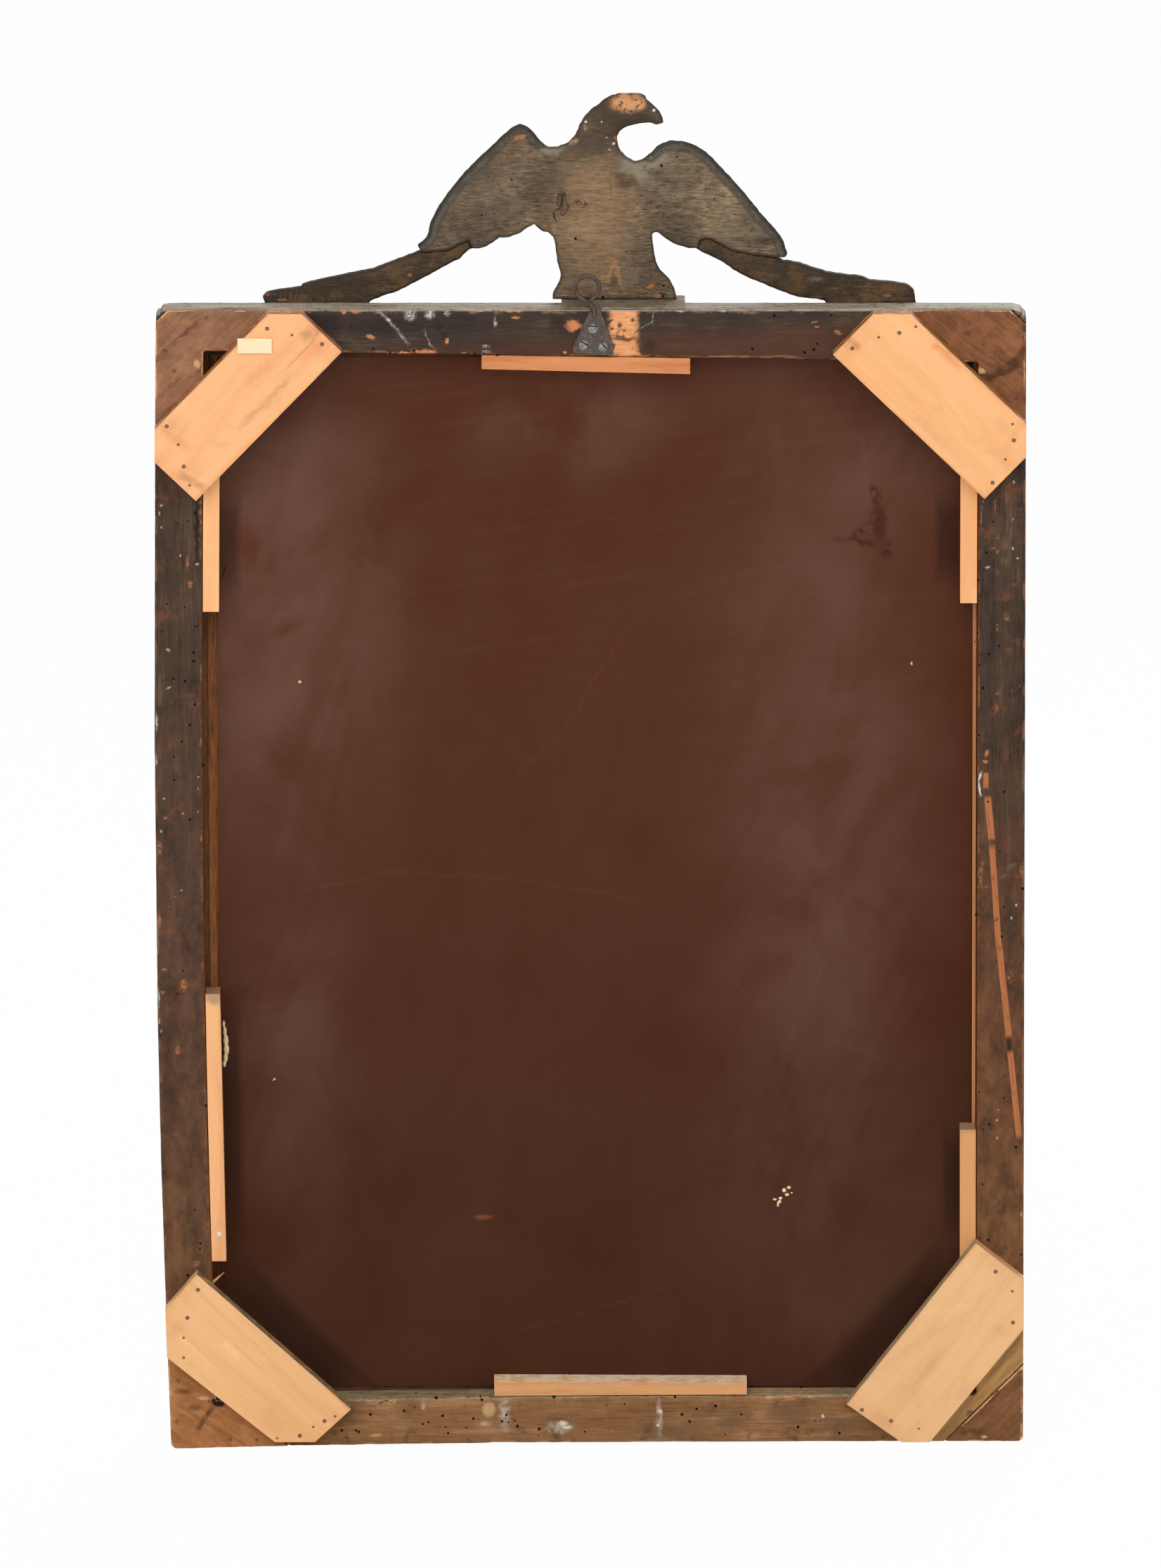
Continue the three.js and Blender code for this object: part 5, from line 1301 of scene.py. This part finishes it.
# %% Reeded slip
for side, angle in (("top", 0), ("bottom", 0), ("left", 90), ("right", 90)):
    slip_finish, colour = old_bare_wood("reeded_slip_" + side, paint(78, 42, 16), paint(150, 92, 42), angle, 71)
    scratches = slip_finish.noise(slip_finish.place, 0.3, 4.0, 0.6)
    black = slip_finish.mix(scratches.between(0.55, 0.75), paint(24, 21, 20), paint(58, 44, 36))
    seen_in_front = 1 - slip_finish.facing(1).between(0.3, 0.7)
    slip_finish.feed("Base Color", slip_finish.mix(seen_in_front, colour, black))
    slip_finish.feed("Roughness", 0.75 - seen_in_front * 0.45)
    slip_finish.bump(slip_finish.height, 0.2, 0.0004)
    wear(slip_finish, "reeded_slip_" + side)
print("gold and black are done")

# %% [markdown]
# ## Carving from an outline
#
# The crest is carved from flat boards. A carver draws the outline, saws it out, and then
# cuts the front down to different depths. The helper below does the same: it fills the
# outline with a fine net of triangles, and two functions say how deep the front and the
# back lie at each point. Sculpting by hand would look as good, but it could not be written
# down in a script.

# %% Outlines
def curve_through(points, step):
    """Points a step apart on a smooth open curve."""
    points = np.array(points, dtype=float)
    ends = np.vstack([2 * points[0] - points[1], points, 2 * points[-1] - points[-2]])
    curve = []
    for p0, p1, p2, p3 in zip(ends, ends[1:], ends[2:], ends[3:]):
        for t in np.linspace(0, 1, 12, endpoint=False):
            curve.append(0.5 * (2 * p1 + (p2 - p0) * t + (2 * p0 - 5 * p1 + 4 * p2 - p3) * t ** 2
                                + (3 * p1 - p0 - 3 * p2 + p3) * t ** 3))
    curve = np.array(curve + [points[-1]])
    travelled = np.concatenate([[0], np.cumsum(np.hypot(*(curve[1:] - curve[:-1]).T))])
    wanted = np.linspace(0, travelled[-1], max(2, round(travelled[-1] / step) + 1))
    return np.column_stack([np.interp(wanted, travelled, curve[:, k]) for k in (0, 1)])


def outline_of(strokes, step, nicks=0.0):
    """A closed loop made of curved strokes that meet at sharp corners, with small nicks."""
    loop = np.vstack([curve_through(stroke, step)[:-1] for stroke in strokes])
    return loop + nicks * np.column_stack([uneven(loop[:, 0] / 2.6, loop[:, 1] / 2.6, k) for k in (1, 2)])


def line_distance(points, line):
    """How far each point is from an open line."""
    best = np.full(len(points), 1e9)
    for start, end in zip(line, line[1:]):
        along = end - start
        t = np.clip(((points - start) @ along) / max(along @ along, 1e-9), 0, 1)
        best = np.minimum(best, ((points - start - t[:, None] * along) ** 2).sum(axis=1))
    return np.sqrt(best)


def edge_distance(points, loop):
    """How far each point is from a closed loop."""
    return line_distance(points, np.vstack([loop, loop[:1]]))


def inside(points, loop):
    """Whether each point is inside a loop."""
    crossings = np.zeros(len(points), dtype=bool)
    for (x0, z0), (x1, z1) in zip(loop, np.roll(loop, -1, axis=0)):
        spans = (z0 > points[:, 1]) != (z1 > points[:, 1])
        if z0 != z1:
            at = (x1 - x0) * (points[:, 1] - z0) / (z1 - z0) + x0
            crossings ^= spans & (points[:, 0] < at)
    return crossings


# %% Carve
def carved(name, loop, front, back, rim_lines, step=1.7):
    """A closed mesh with this outline, and the front and back surfaces that are given. How
    near each point is to the rim lines is kept, because the finish changes there."""
    rows = np.arange(loop[:, 1].min(), loop[:, 1].max(), step * 0.87)
    net = []
    for i, z in enumerate(rows):
        shift = step / 2 if i % 2 else 0
        net.extend((x + shift, z) for x in np.arange(loop[:, 0].min(), loop[:, 0].max(), step))
    net = np.array(net)
    net = net[inside(net, loop)]
    net = net[edge_distance(net, loop) > step * 0.55]
    flat = [Vector(p) for p in np.vstack([loop, net])]
    border = [(i, (i + 1) % len(loop)) for i in range(len(loop))]
    flat, _, faces, _, _, _ = delaunay_2d_cdt(flat, border, [], 1, 1e-6)
    spots = np.array([(p.x, p.y) for p in flat])
    reach = edge_distance(spots, loop)
    rim = np.zeros(len(spots))
    for line in rim_lines:
        rim = np.maximum(rim, 1 - line_distance(spots, line) / 20)
    x, z = spots[:, 0], spots[:, 1]
    y_front, y_back = front(x, z, reach, rim), back(x, z, reach, rim)
    y_back = np.maximum(y_back, y_front + 0.8)
    count = len(spots)
    corners = [metres(*p) for p in zip(x, y_front, z)] + [metres(*p) for p in zip(x, y_back, z)]
    shell, sides = [], set()
    for face in faces:
        face = list(face)
        a, b, c = (spots[i] for i in face)
        if (b[0] - a[0]) * (c[1] - a[1]) - (b[1] - a[1]) * (c[0] - a[0]) < 0:
            face.reverse()
        shell.append(face)
        shell.append([i + count for i in reversed(face)])
        sides.update(zip(face, face[1:] + face[:1]))
    shell += [[j, i, i + count, j + count] for i, j in sorted(sides) if (j, i) not in sides]
    mesh = bpy.data.meshes.new(name)
    mesh.from_pydata(corners, [], shell)
    mesh.attributes.new("rim", "FLOAT", "POINT").data.foreach_set("value", np.tile(rim, 2))
    mesh.attributes.new("reach", "FLOAT", "POINT").data.foreach_set("value", np.tile(reach, 2))
    tidy = bmesh.new()
    tidy.from_mesh(mesh)
    bmesh.ops.recalc_face_normals(tidy, faces=tidy.faces)
    tidy.to_mesh(mesh)
    tidy.free()
    return mesh


def dome(share):
    """The height of a quarter circle, from 0 at its edge to 1 at its top."""
    share = np.clip(share, 0, 1)
    return np.sqrt(1 - (1 - share) ** 2)


def plumes(across, along, length, tip):
    """Overlapping feathers: how far along its feather each point is, and how far off its middle."""
    row = np.floor(along / length)
    best_share, best_off = None, None
    for later in (0, -1):
        off = (across + ((row + later) % 2) * 0.5) % 1 - 0.5
        start = (row + later) * length
        end = start + length + tip * (1 - (2 * off) ** 2)
        share = (along - start) / (length + tip)
        if best_share is None:
            best_share, best_off = share, off
        else:
            over = along < end
            best_share = np.where(over, share, best_share)
            best_off = np.where(over, off, best_off)
    return best_share, best_off


print("ready to carve")

# %% [markdown]
# ## The eagle
#
# The eagle is one board with a thicker head and a breast glued on. From behind it is flat,
# with short marks of the tool across it, and the front edges of its wings are rounded over
# and smooth. From the front it has rows of feathers. Its outline is a list of strokes, from
# one sharp corner to the next, in millimetres from the foot of the board.

# %% Eagle outline
CREST_FOOT = 896.0
CREST_BACK = -30.4
RIGHT_LEADING = [
    (-27, 112.3), (-33, 108.6), (-39.1, 109.6), (-45.6, 114.6), (-51, 119.8), (-58.6, 123.6),
    (-66.7, 124.2), (-77, 121.8), (-87.9, 115.6), (-100.9, 102.8), (-113.9, 88.4), (-126.9, 72.3),
    (-140.5, 56.3), (-147.5, 46.8), (-151, 36.4)]
LEFT_LEADING = [
    (133.7, 42.4), (126.4, 50), (122.8, 61.9), (113.6, 78.6), (97.8, 99), (79.8, 117.2), (62.9, 132.7),
    (54.6, 137.2), (46.6, 133.4), (40, 125.4), (33.4, 119.8), (25.5, 119.6)]
EAGLE_STROKES = [
    RIGHT_LEADING,
    [(-151, 36.4), (-149, 33.2), (-134, 34), (-119.3, 36.5), (-108, 39), (-98, 44.5), (-91, 47.6), (-84.5, 46.2),
     (-82.5, 40.2)],
    [(-82.5, 40.2), (-73.2, 40.7), (-63.2, 44.6), (-57.5, 47.9), (-51.5, 52.3), (-47.6, 51.5), (-47.2, 46.8)],
    [(-47.2, 46.8), (-49.1, 33.5), (-52.6, 24.1), (-57.5, 19.1), (-61.6, 13.8), (-64, 8.6), (-66.2, 0.2)],
    [(-66.2, 0.2), (29.3, 0.2)],
    [(29.3, 0.2), (29.3, 5.2), (26, 11.1), (23.3, 18.5), (25.5, 28.2), (27.1, 39.6), (28.8, 49)],
    [(28.8, 49), (33, 52.4), (38, 54), (43.9, 59.4)],
    [(43.9, 59.4), (49, 56.5), (54.8, 52.4), (63.5, 49), (70.8, 48.5)],
    [(70.8, 48.5), (80.8, 41.8), (90.6, 40.4), (94, 46.6)],
    [(94, 46.6), (102, 43), (110, 38.6), (119, 38.2), (129.1, 37.4), (133.7, 42.4)],
    LEFT_LEADING,
    [(25.5, 119.6), (17.8, 123), (12.2, 129), (8.1, 138), (1.1, 148.2), (-3.8, 151.4), (-10.3, 156.8),
     (-19.5, 160.8), (-29.8, 161.2), (-40.1, 160.6), (-42.9, 157)],
    [(-42.9, 157), (-49.4, 150.6), (-54.8, 143.6), (-55.6, 138.8)],
    [(-55.6, 138.8), (-51, 136.6), (-44.5, 138.3), (-32.5, 136.7), (-23.3, 132.8), (-20.1, 126.1), (-22, 117.8),
     (-27, 112.3)],
]
EAGLE_STROKES = [[(x, z + CREST_FOOT) for x, z in stroke] for stroke in EAGLE_STROKES]
eagle_loop = outline_of(EAGLE_STROKES, 1.7, 0.35)
right_rim = curve_through([(x, z + CREST_FOOT) for x, z in RIGHT_LEADING[3:]], 4)
left_rim = curve_through([(x, z + CREST_FOOT) for x, z in LEFT_LEADING[:-2]], 4)
print("the outline has", len(eagle_loop), "points")


def head_share(x, z):
    """1 on the neck and head, 0 on the wings and body."""
    rise = z - CREST_FOOT
    neck = np.clip((rise - 104) / 12, 0, 1) * np.clip((34 - np.abs(x + 8)) / 10, 0, 1)
    return np.clip(neck + np.clip((rise - 128) / 6, 0, 1) * np.clip((30 - x) / 8, 0, 1), 0, 1)


# %% Eagle surfaces
def eagle_front(x, z, reach, rim):
    rise = z - CREST_FOOT
    thick = 3.5 + 10.5 * dome(reach / 11)
    for side, (px, pz), spread in ((1, (44, 150), (-1.62, -0.72)), (-1, (-58, 142), (-2.42, -1.52))):
        dx, dz = x - px, rise - pz
        radius, angle = np.hypot(dx, dz), np.arctan2(dz, dx)
        fan = (angle - spread[0]) / (spread[1] - spread[0])
        share, off = plumes(fan * 11, radius - 8, 24.0, 7.0)
        small, small_off = plumes(fan * 17, radius, 9.0, 3.0)
        short = radius < 46
        share, off = np.where(short, small, share), np.where(short, small_off, off)
        feather = 2.4 * share + 1.3 * (1 - (2 * off) ** 2) + 0.6 * (np.abs(off) < 0.07)
        on_wing = side * (x + 10) > 32
        thick = np.where(on_wing & (reach > 0.8), thick + feather, thick)
    middle = -10.0
    levels = [0, 8, 20, 34, 54, 70, 90, 104, 111]
    shares = [0.55, 0.68, 0.61, 0.77, 0.97, 1, 0.87, 0.65, 0.3]
    half = 31 * np.interp(rise, levels, shares)
    off_middle = (x - middle) / half
    body = 20.3 + 25.0 * np.interp(rise, levels, shares) * np.sqrt(np.clip(1 - off_middle ** 2, 0, 1))
    share, off = plumes((x - middle) / 7.5, 120 - rise, 7.0, 2.6)
    body = body - 1.6 + 1.2 * share + 0.5 * (1 - (2 * off) ** 2)
    on_body = (np.abs(off_middle) < 1) & (rise < 111)
    thick = np.where(on_body, np.maximum(thick, body), thick)
    head = 3.5 + 23 * dome(reach / 15)
    tuft, off = plumes((x * 0.6 - rise * 0.8) / 4.2, -(x * 0.8 + rise * 0.6) + 300, 6.0, 2.0)
    head = head + np.where(rise < 146, 0.9 * tuft, 0)
    eye = np.hypot(x + 36, rise - 152)
    head = head + 1.6 * (eye < 2.2) - 1.4 * ((eye >= 2.2) & (eye < 4.0))
    share = head_share(x, z)
    thick = thick * (1 - share) + np.maximum(thick, head) * share
    return CREST_BACK - np.clip(thick, 3, 46)


def eagle_back(x, z, reach, rim):
    rise = z - CREST_FOOT
    from_rim = (1 - rim) * 20
    drop = 0.9 * (1 - dome(reach / 2.5)) + 5.5 * (1 - dome(from_rim / 9.5)) * (rim > 0)
    head = head_share(x, z)
    drop = drop * (1 - head) + head * (9 * (1 - dome(reach / 10)) - 1.8)
    tool = 0.3 * uneven(x / 8, z / 2.3, 5) + 0.35 * uneven(x / 22, z / 14, 6)
    calm = np.clip(from_rim / 9 - 0.6, 0, 1)
    return CREST_BACK - drop + tool * np.clip(reach / 3, 0, 1) * calm - 0.4


eagle_mesh = carved("eagle", eagle_loop, eagle_front, eagle_back, [right_rim, left_rim])
print("the eagle has", len(eagle_mesh.vertices), "points")

# %% Carved wood
def carved_wood(name, dark, middle, light, seed):
    """Bare wood with short strokes of the chisel across it."""
    finish = Finish(name, roughness=0.7, Specular_IOR_Level=0.25)
    chops = finish.noise(finish.turned(0, (0.11, 0.75, 0.75)), 1.0, 5.0, 0.7, 0.3)
    fibres = finish.noise(finish.turned(0, (0.12, 1.6, 1.6)), 1.0, 3.0, 0.6)
    clouds = finish.noise(finish.place, 0.024, 4.0, 0.6)
    tone = chops * 0.5 + fibres * 0.25 + clouds * 0.45
    colour = finish.mix(tone.between(0.47, 0.61), dark, middle)
    colour = finish.mix(tone.between(0.6, 0.74), colour, light)
    pits = finish.noise(finish.turned(0, (0.2, 0.7, 0.7)), 1.0, 2.0, 0.6).between(0.34, 0.42)
    colour = finish.mix((1 - pits) * 0.7, colour, paint(40, 32, 25))
    finish.height = chops * 1.2 + fibres * 0.4 + pits * 0.4
    return finish, colour


eagle_finish, colour = carved_wood("carved_eagle_wood", paint(60, 49, 38), paint(100, 82, 62), paint(154, 128, 98), 11)
left_wing = eagle_finish.spot(88, 990, 52, 44, 45, 0.7)
colour = eagle_finish.mix(left_wing * 0.5, colour, paint(76, 64, 50))
right_wing = eagle_finish.spot(-98, 972, 54, 30, -42, 0.8)
streaky = eagle_finish.noise(eagle_finish.turned(-4, (0.03, 0.3, 0.3)), 1.0, 5.0, 0.7).between(0.42, 0.62)
colour = eagle_finish.mix(right_wing * streaky * 0.4, colour, paint(146, 130, 102))
blots = eagle_finish.noise(eagle_finish.place, 0.045, 5.0, 0.65)
colour = eagle_finish.mix(blots.between(0.56, 0.68) * 0.45, colour, paint(84, 64, 45))
colour = eagle_finish.mix((1 - blots.between(0.36, 0.46)) * 0.35, colour, paint(118, 106, 88))
warm = eagle_finish.spot(-2, 962, 26, 52, 0, 0.7)
warm_tone = eagle_finish.noise(eagle_finish.turned(0, (0.09, 0.5, 0.5)), 1.0, 6.0, 0.75).between(0.3, 0.7)
colour = eagle_finish.mix(warm * 0.55, colour, eagle_finish.times(paint(158, 124, 90), warm_tone * 0.9 + 0.5))
smooth_grey = eagle_finish.any_of([
    eagle_finish.path([(-24, 1004), (-40, 1003), (-56, 1011)], 13, 0.6, True),
    eagle_finish.path([(-30, 1002), (-42, 990)], 8, 0.8, True), eagle_finish.spot(30, 1014, 10, 4, 10, 0.6)])
colour = eagle_finish.mix(smooth_grey * 0.85, colour, paint(136, 126, 108))
rim = eagle_finish.kept("rim")
band = rim.between(0.56, 0.72)
# The rounded front edges of the wings are charcoal grey; the lighter line along the middle of that band is a painted
# highlight on the rounding.
painted_sheen = rim.between(0.62, 0.74) * (1 - rim.between(0.8, 0.92))
worn_paint = eagle_finish.noise(eagle_finish.place, 0.12, 5.0, 0.65)
charcoal_and_painted_sheen = eagle_finish.mix(painted_sheen * worn_paint.between(0.36, 0.6) * 0.8, paint(50, 45, 39), paint(92, 86, 76))
colour = eagle_finish.mix(band * worn_paint.between(0.3, 0.46) * 0.9, colour, charcoal_and_painted_sheen)
edge_dark = 1 - eagle_finish.kept("reach").between(0.6, 3.0)
colour = eagle_finish.mix(edge_dark * 0.6, colour, paint(54, 43, 33))
dark_head = eagle_finish.spots([(-22, 1044, 38, 22), (-2, 1020, 20, 14)], 0.7)
colour = eagle_finish.mix(dark_head * 0.85, colour, eagle_finish.times(paint(66, 53, 41), blots * 1.4 + 0.25))
flaking = eagle_finish.noise(eagle_finish.place, 0.28, 5.0, 0.75).between(0.38, 0.48)
patches = [
    (eagle_finish.spots([(-27.5, 1050, 12.5, 6.6, 4), (-37, 1049.5, 5, 4.5)], 0.4) * flaking, eagle_finish.times(paint(214, 150, 104), blots * 0.8 + 0.55)),
    (eagle_finish.spots([(54.5, 1023.5, 5, 1.6, 10), (112.6, 928.6, 4.5, 2, -10), (108.5, 931, 3, 1.6),
                         (-46, 906.5, 3.4, 1.6, 20), (-51.5, 898.8, 4, 1.2), (33, 950, 2, 4), (-20.5, 1022.4, 2.6, 1.8)]),
     paint(158, 108, 64)),
    (eagle_finish.any_of([eagle_finish.path([(-17.4, 927), (-13, 911.5)], 2.4, 0.7, True),
                          eagle_finish.path([(-17.4, 927), (-23.9, 905.9)], 2.2, 0.9, True)]) * 0.75, paint(168, 118, 74)),
    (eagle_finish.spots([(13.6, 1019.6, 3.6, 1.6, 30), (4.3, 1031, 1.2, 2.0)], 0.7) * flaking, paint(166, 136, 110)),
    (eagle_finish.spots([(-48.6, 1044.4, 1.1, 0.9), (-17.4, 1018.5, 0.9, 0.9), (3.8, 1035.2, 0.8, 0.8),
                         (-12, 1024, 0.5, 0.5), (-8, 1036, 0.5, 0.5), (2, 1044, 0.5, 0.5), (-14, 1014, 0.5, 0.5)]), OLD_WHITE),
    (eagle_finish.spots([(-17.9, 909.8, 2.6, 4), (32.5, 951, 2.4, 5), (4, 969.8, 2.4, 1.6), (10.8, 973, 2, 1.6),
                         (22.5, 973, 3, 9, 8), (-27, 987, 7, 4), (-22, 993, 4, 3)], 0.7) * 0.75, paint(66, 46, 31)),
    (eagle_finish.path([(21.2, 979), (23.3, 968.6), (29.3, 964.2), (27.1, 957.5)], 1.3, 0.6, True), NEAR_BLACK),
    (eagle_finish.path([(-15.2, 1003), (-14.2, 990), (-15.6, 976)], 1.4, 0.8, True) * 0.5, paint(74, 52, 34)),
    (eagle_finish.path([(0, 1029.6), (-8, 1027.6), (-16.3, 1025.2)], 2.6, 0.7, True) * 0.6, paint(66, 42, 30)),
]
for mask, tint in patches:
    colour = eagle_finish.mix(mask * 0.9, colour, tint)
for x, z, wide, high, turn in ((22, 971, 7, 14, 8), (7.5, 971.5, 6.5, 4.5, 0), (-36.3, 907, 5, 3, 0)):
    rings = eagle_finish.vector("LENGTH", eagle_finish.around(x, z, wide, high, turn, True), out=1)
    ripple = ((rings * 14).maths("SINE") * 0.5 + 0.5).between(0.62, 0.95)
    colour = eagle_finish.mix(ripple * (1 - rings.between(0.7, 1.15)) * 0.75, colour, paint(58, 38, 25))
eagle_finish.height = eagle_finish.height * (1 - band * 0.8)
gilded_in_front(eagle_finish, colour)
place_piece("eagle_carving", eagle_mesh, eagle_finish, "carved_wood", "eagle_back_board", "eagle_head", "eagle_breast")
repeated("worm_holes_eagle", hole_recipe, [(x, CREST_BACK - 0.5, z) for x, z in [
    (-55.9, 907), (-59.7, 905.9), (-9.2, 898), (-55.3, 899), (-27.1, 933.7), (-1.1, 927), (-43.4, 969.2),
    (-54.2, 1001.3), (-66.2, 1008), (-54.2, 901), (84, 962), (61, 990), (-95, 975), (12, 944)]],
    hole_finish, "carved_wood", 9, smooth=False)

# %% The board under the eagle
plinth_finish, colour = carved_wood("weathered_plinth", paint(78, 68, 55), paint(122, 108, 88), paint(166, 152, 130), 12)
finish_off(plinth_finish, colour, 0.5)
place_piece("crest_plinth_worn", worn("crest_plinth", 0.8, 0.9, 60), plinth_finish, "carved_wood", "crest_plinth")

# %% [markdown]
# ## Leaf sprays
#
# A spray of leaves runs down from each wing tip to the corner of the frame. It is lapped
# over the front of the wing, so behind the wing it is thin. It was cut with a gouge, which
# left rows of slanting grooves on its back.

# %% Sprays
LEFT_SPRAY = [
    [(252.8, 3.2), (249, 7.1), (236, 9.2), (223, 10.7)], [(223, 10.7), (220.3, 13.8), (198.6, 18.8), (167.1, 24.9)],
    [(167.1, 24.9), (155.7, 29.9), (133.5, 38.7), (120, 45), (104, 50), (93.6, 50), (86, 53)],
    [(86, 53), (84, 44), (93.3, 41), (101.4, 33.7), (111.2, 28.7), (129.7, 18.2), (148.1, 8.8), (168.7, 1), (172, -4.6)],
    [(172, -4.6), (250.5, -4.6)], [(250.5, -4.6), (252.8, 3.2)],
]
RIGHT_SPRAY = [
    [(-78, 43), (-80, 51), (-96, 53), (-112, 49), (-130, 41), (-148.6, 31.5)],
    [(-148.6, 31.5), (-159.5, 29.9), (-171.2, 26), (-181.2, 22.6)],
    [(-181.2, 22.6), (-197.7, 20.4), (-207.8, 19.3), (-215.4, 16)],
    [(-215.4, 16), (-227.8, 15.4), (-240.9, 13.5), (-245.8, 11), (-249, 6.6), (-250.5, -4.6)],
    [(-250.5, -4.6), (-182, -4.6)],
    [(-182, -4.6), (-178.5, 1), (-159.5, 3.8), (-148.1, 7.7), (-134, 13.4), (-114.5, 22.1), (-102.3, 30.4),
     (-94.9, 34.3), (-78, 43)],
]


def spray(name, strokes, root, tip, lean):
    loop = outline_of([[(x, z + FRAME_HEIGHT) for x, z in stroke] for stroke in strokes], 1.7, 0.3)
    root, tip = np.array(root, dtype=float), np.array(tip, dtype=float)
    axis = (tip - root) / np.linalg.norm(tip - root)

    def front(x, z, reach, rim):
        dx, dz = x - root[0], z - FRAME_HEIGHT - root[1]
        run = dx * axis[0] + dz * axis[1]
        off = -dx * axis[1] + dz * axis[0]
        vein = np.abs(((run - np.abs(off) * 1.2) / 13) % 1 - 0.5) * 2
        thick = 9 + 8 * dome(reach / 8) + 2.6 * vein * np.clip(reach / 2, 0, 1) + 1.6 * np.exp(-(off / 1.6) ** 2)
        return -32 - np.clip(thick, 3, 22.8)

    def back(x, z, reach, rim):
        spots = np.column_stack([x, z])
        lapped = inside(spots, eagle_loop) | (edge_distance(spots, eagle_loop) < 0.3)
        drop = 1.6 * (1 - dome(reach / 4))
        groove = 0.35 * np.sin((x * lean - z) * 1.6) + 0.3 * uneven(x / 14, z / 3, 8)
        return np.where(lapped, -51.4, -32.5 - drop + groove * np.clip(reach / 3, 0, 1))

    return carved(name, loop, front, back, [], 1.5)


leaf_finish, colour = carved_wood("carved_leaf_wood", paint(38, 30, 22), paint(62, 48, 33), paint(100, 75, 48), 15)
ochre = leaf_finish.noise(leaf_finish.place, 0.05, 4.0, 0.6).between(0.5, 0.62)
colour = leaf_finish.mix(ochre * 0.35, colour, paint(112, 80, 40))
colour = leaf_finish.mix(leaf_finish.spots([
    (249.5, 900, 2.2, 1.2), (-172, 897, 5, 1.5), (238, 895.5, 4, 0.8), (140, 915, 1.6, 1.0), (-228, 899, 3, 0.8)], 0.5) * 0.8,
    colour, paint(170, 108, 58))
colour = leaf_finish.mix(leaf_finish.spot(-173, 912, 5, 1.6, 0, 0.7) * 0.4, colour, paint(130, 118, 100))
cuts = leaf_finish.any_of([leaf_finish.path([(x, 896), (x - 1.5, 902.5)], 0.9, 0.6, True) for x in (242, 238, 234.5, 230, 226.5)])
colour = leaf_finish.mix(cuts * 0.85, colour, paint(24, 18, 14))
leaf_edge = 1 - leaf_finish.kept("reach").between(0.5, 3.0)
colour = leaf_finish.mix(leaf_edge * 0.6, colour, paint(36, 28, 21))
gilded_in_front(leaf_finish, colour)
place_piece("leaf_spray_left_carving", spray("spray_left", LEFT_SPRAY, (104, 42), (252, 2), 0.9),
            leaf_finish, "carved_leaf_wood", "leaf_spray_left")
place_piece("leaf_spray_right_carving", spray("spray_right", RIGHT_SPRAY, (-92, 44), (-250, 4), -0.9),
            leaf_finish, "carved_leaf_wood", "leaf_spray_right")
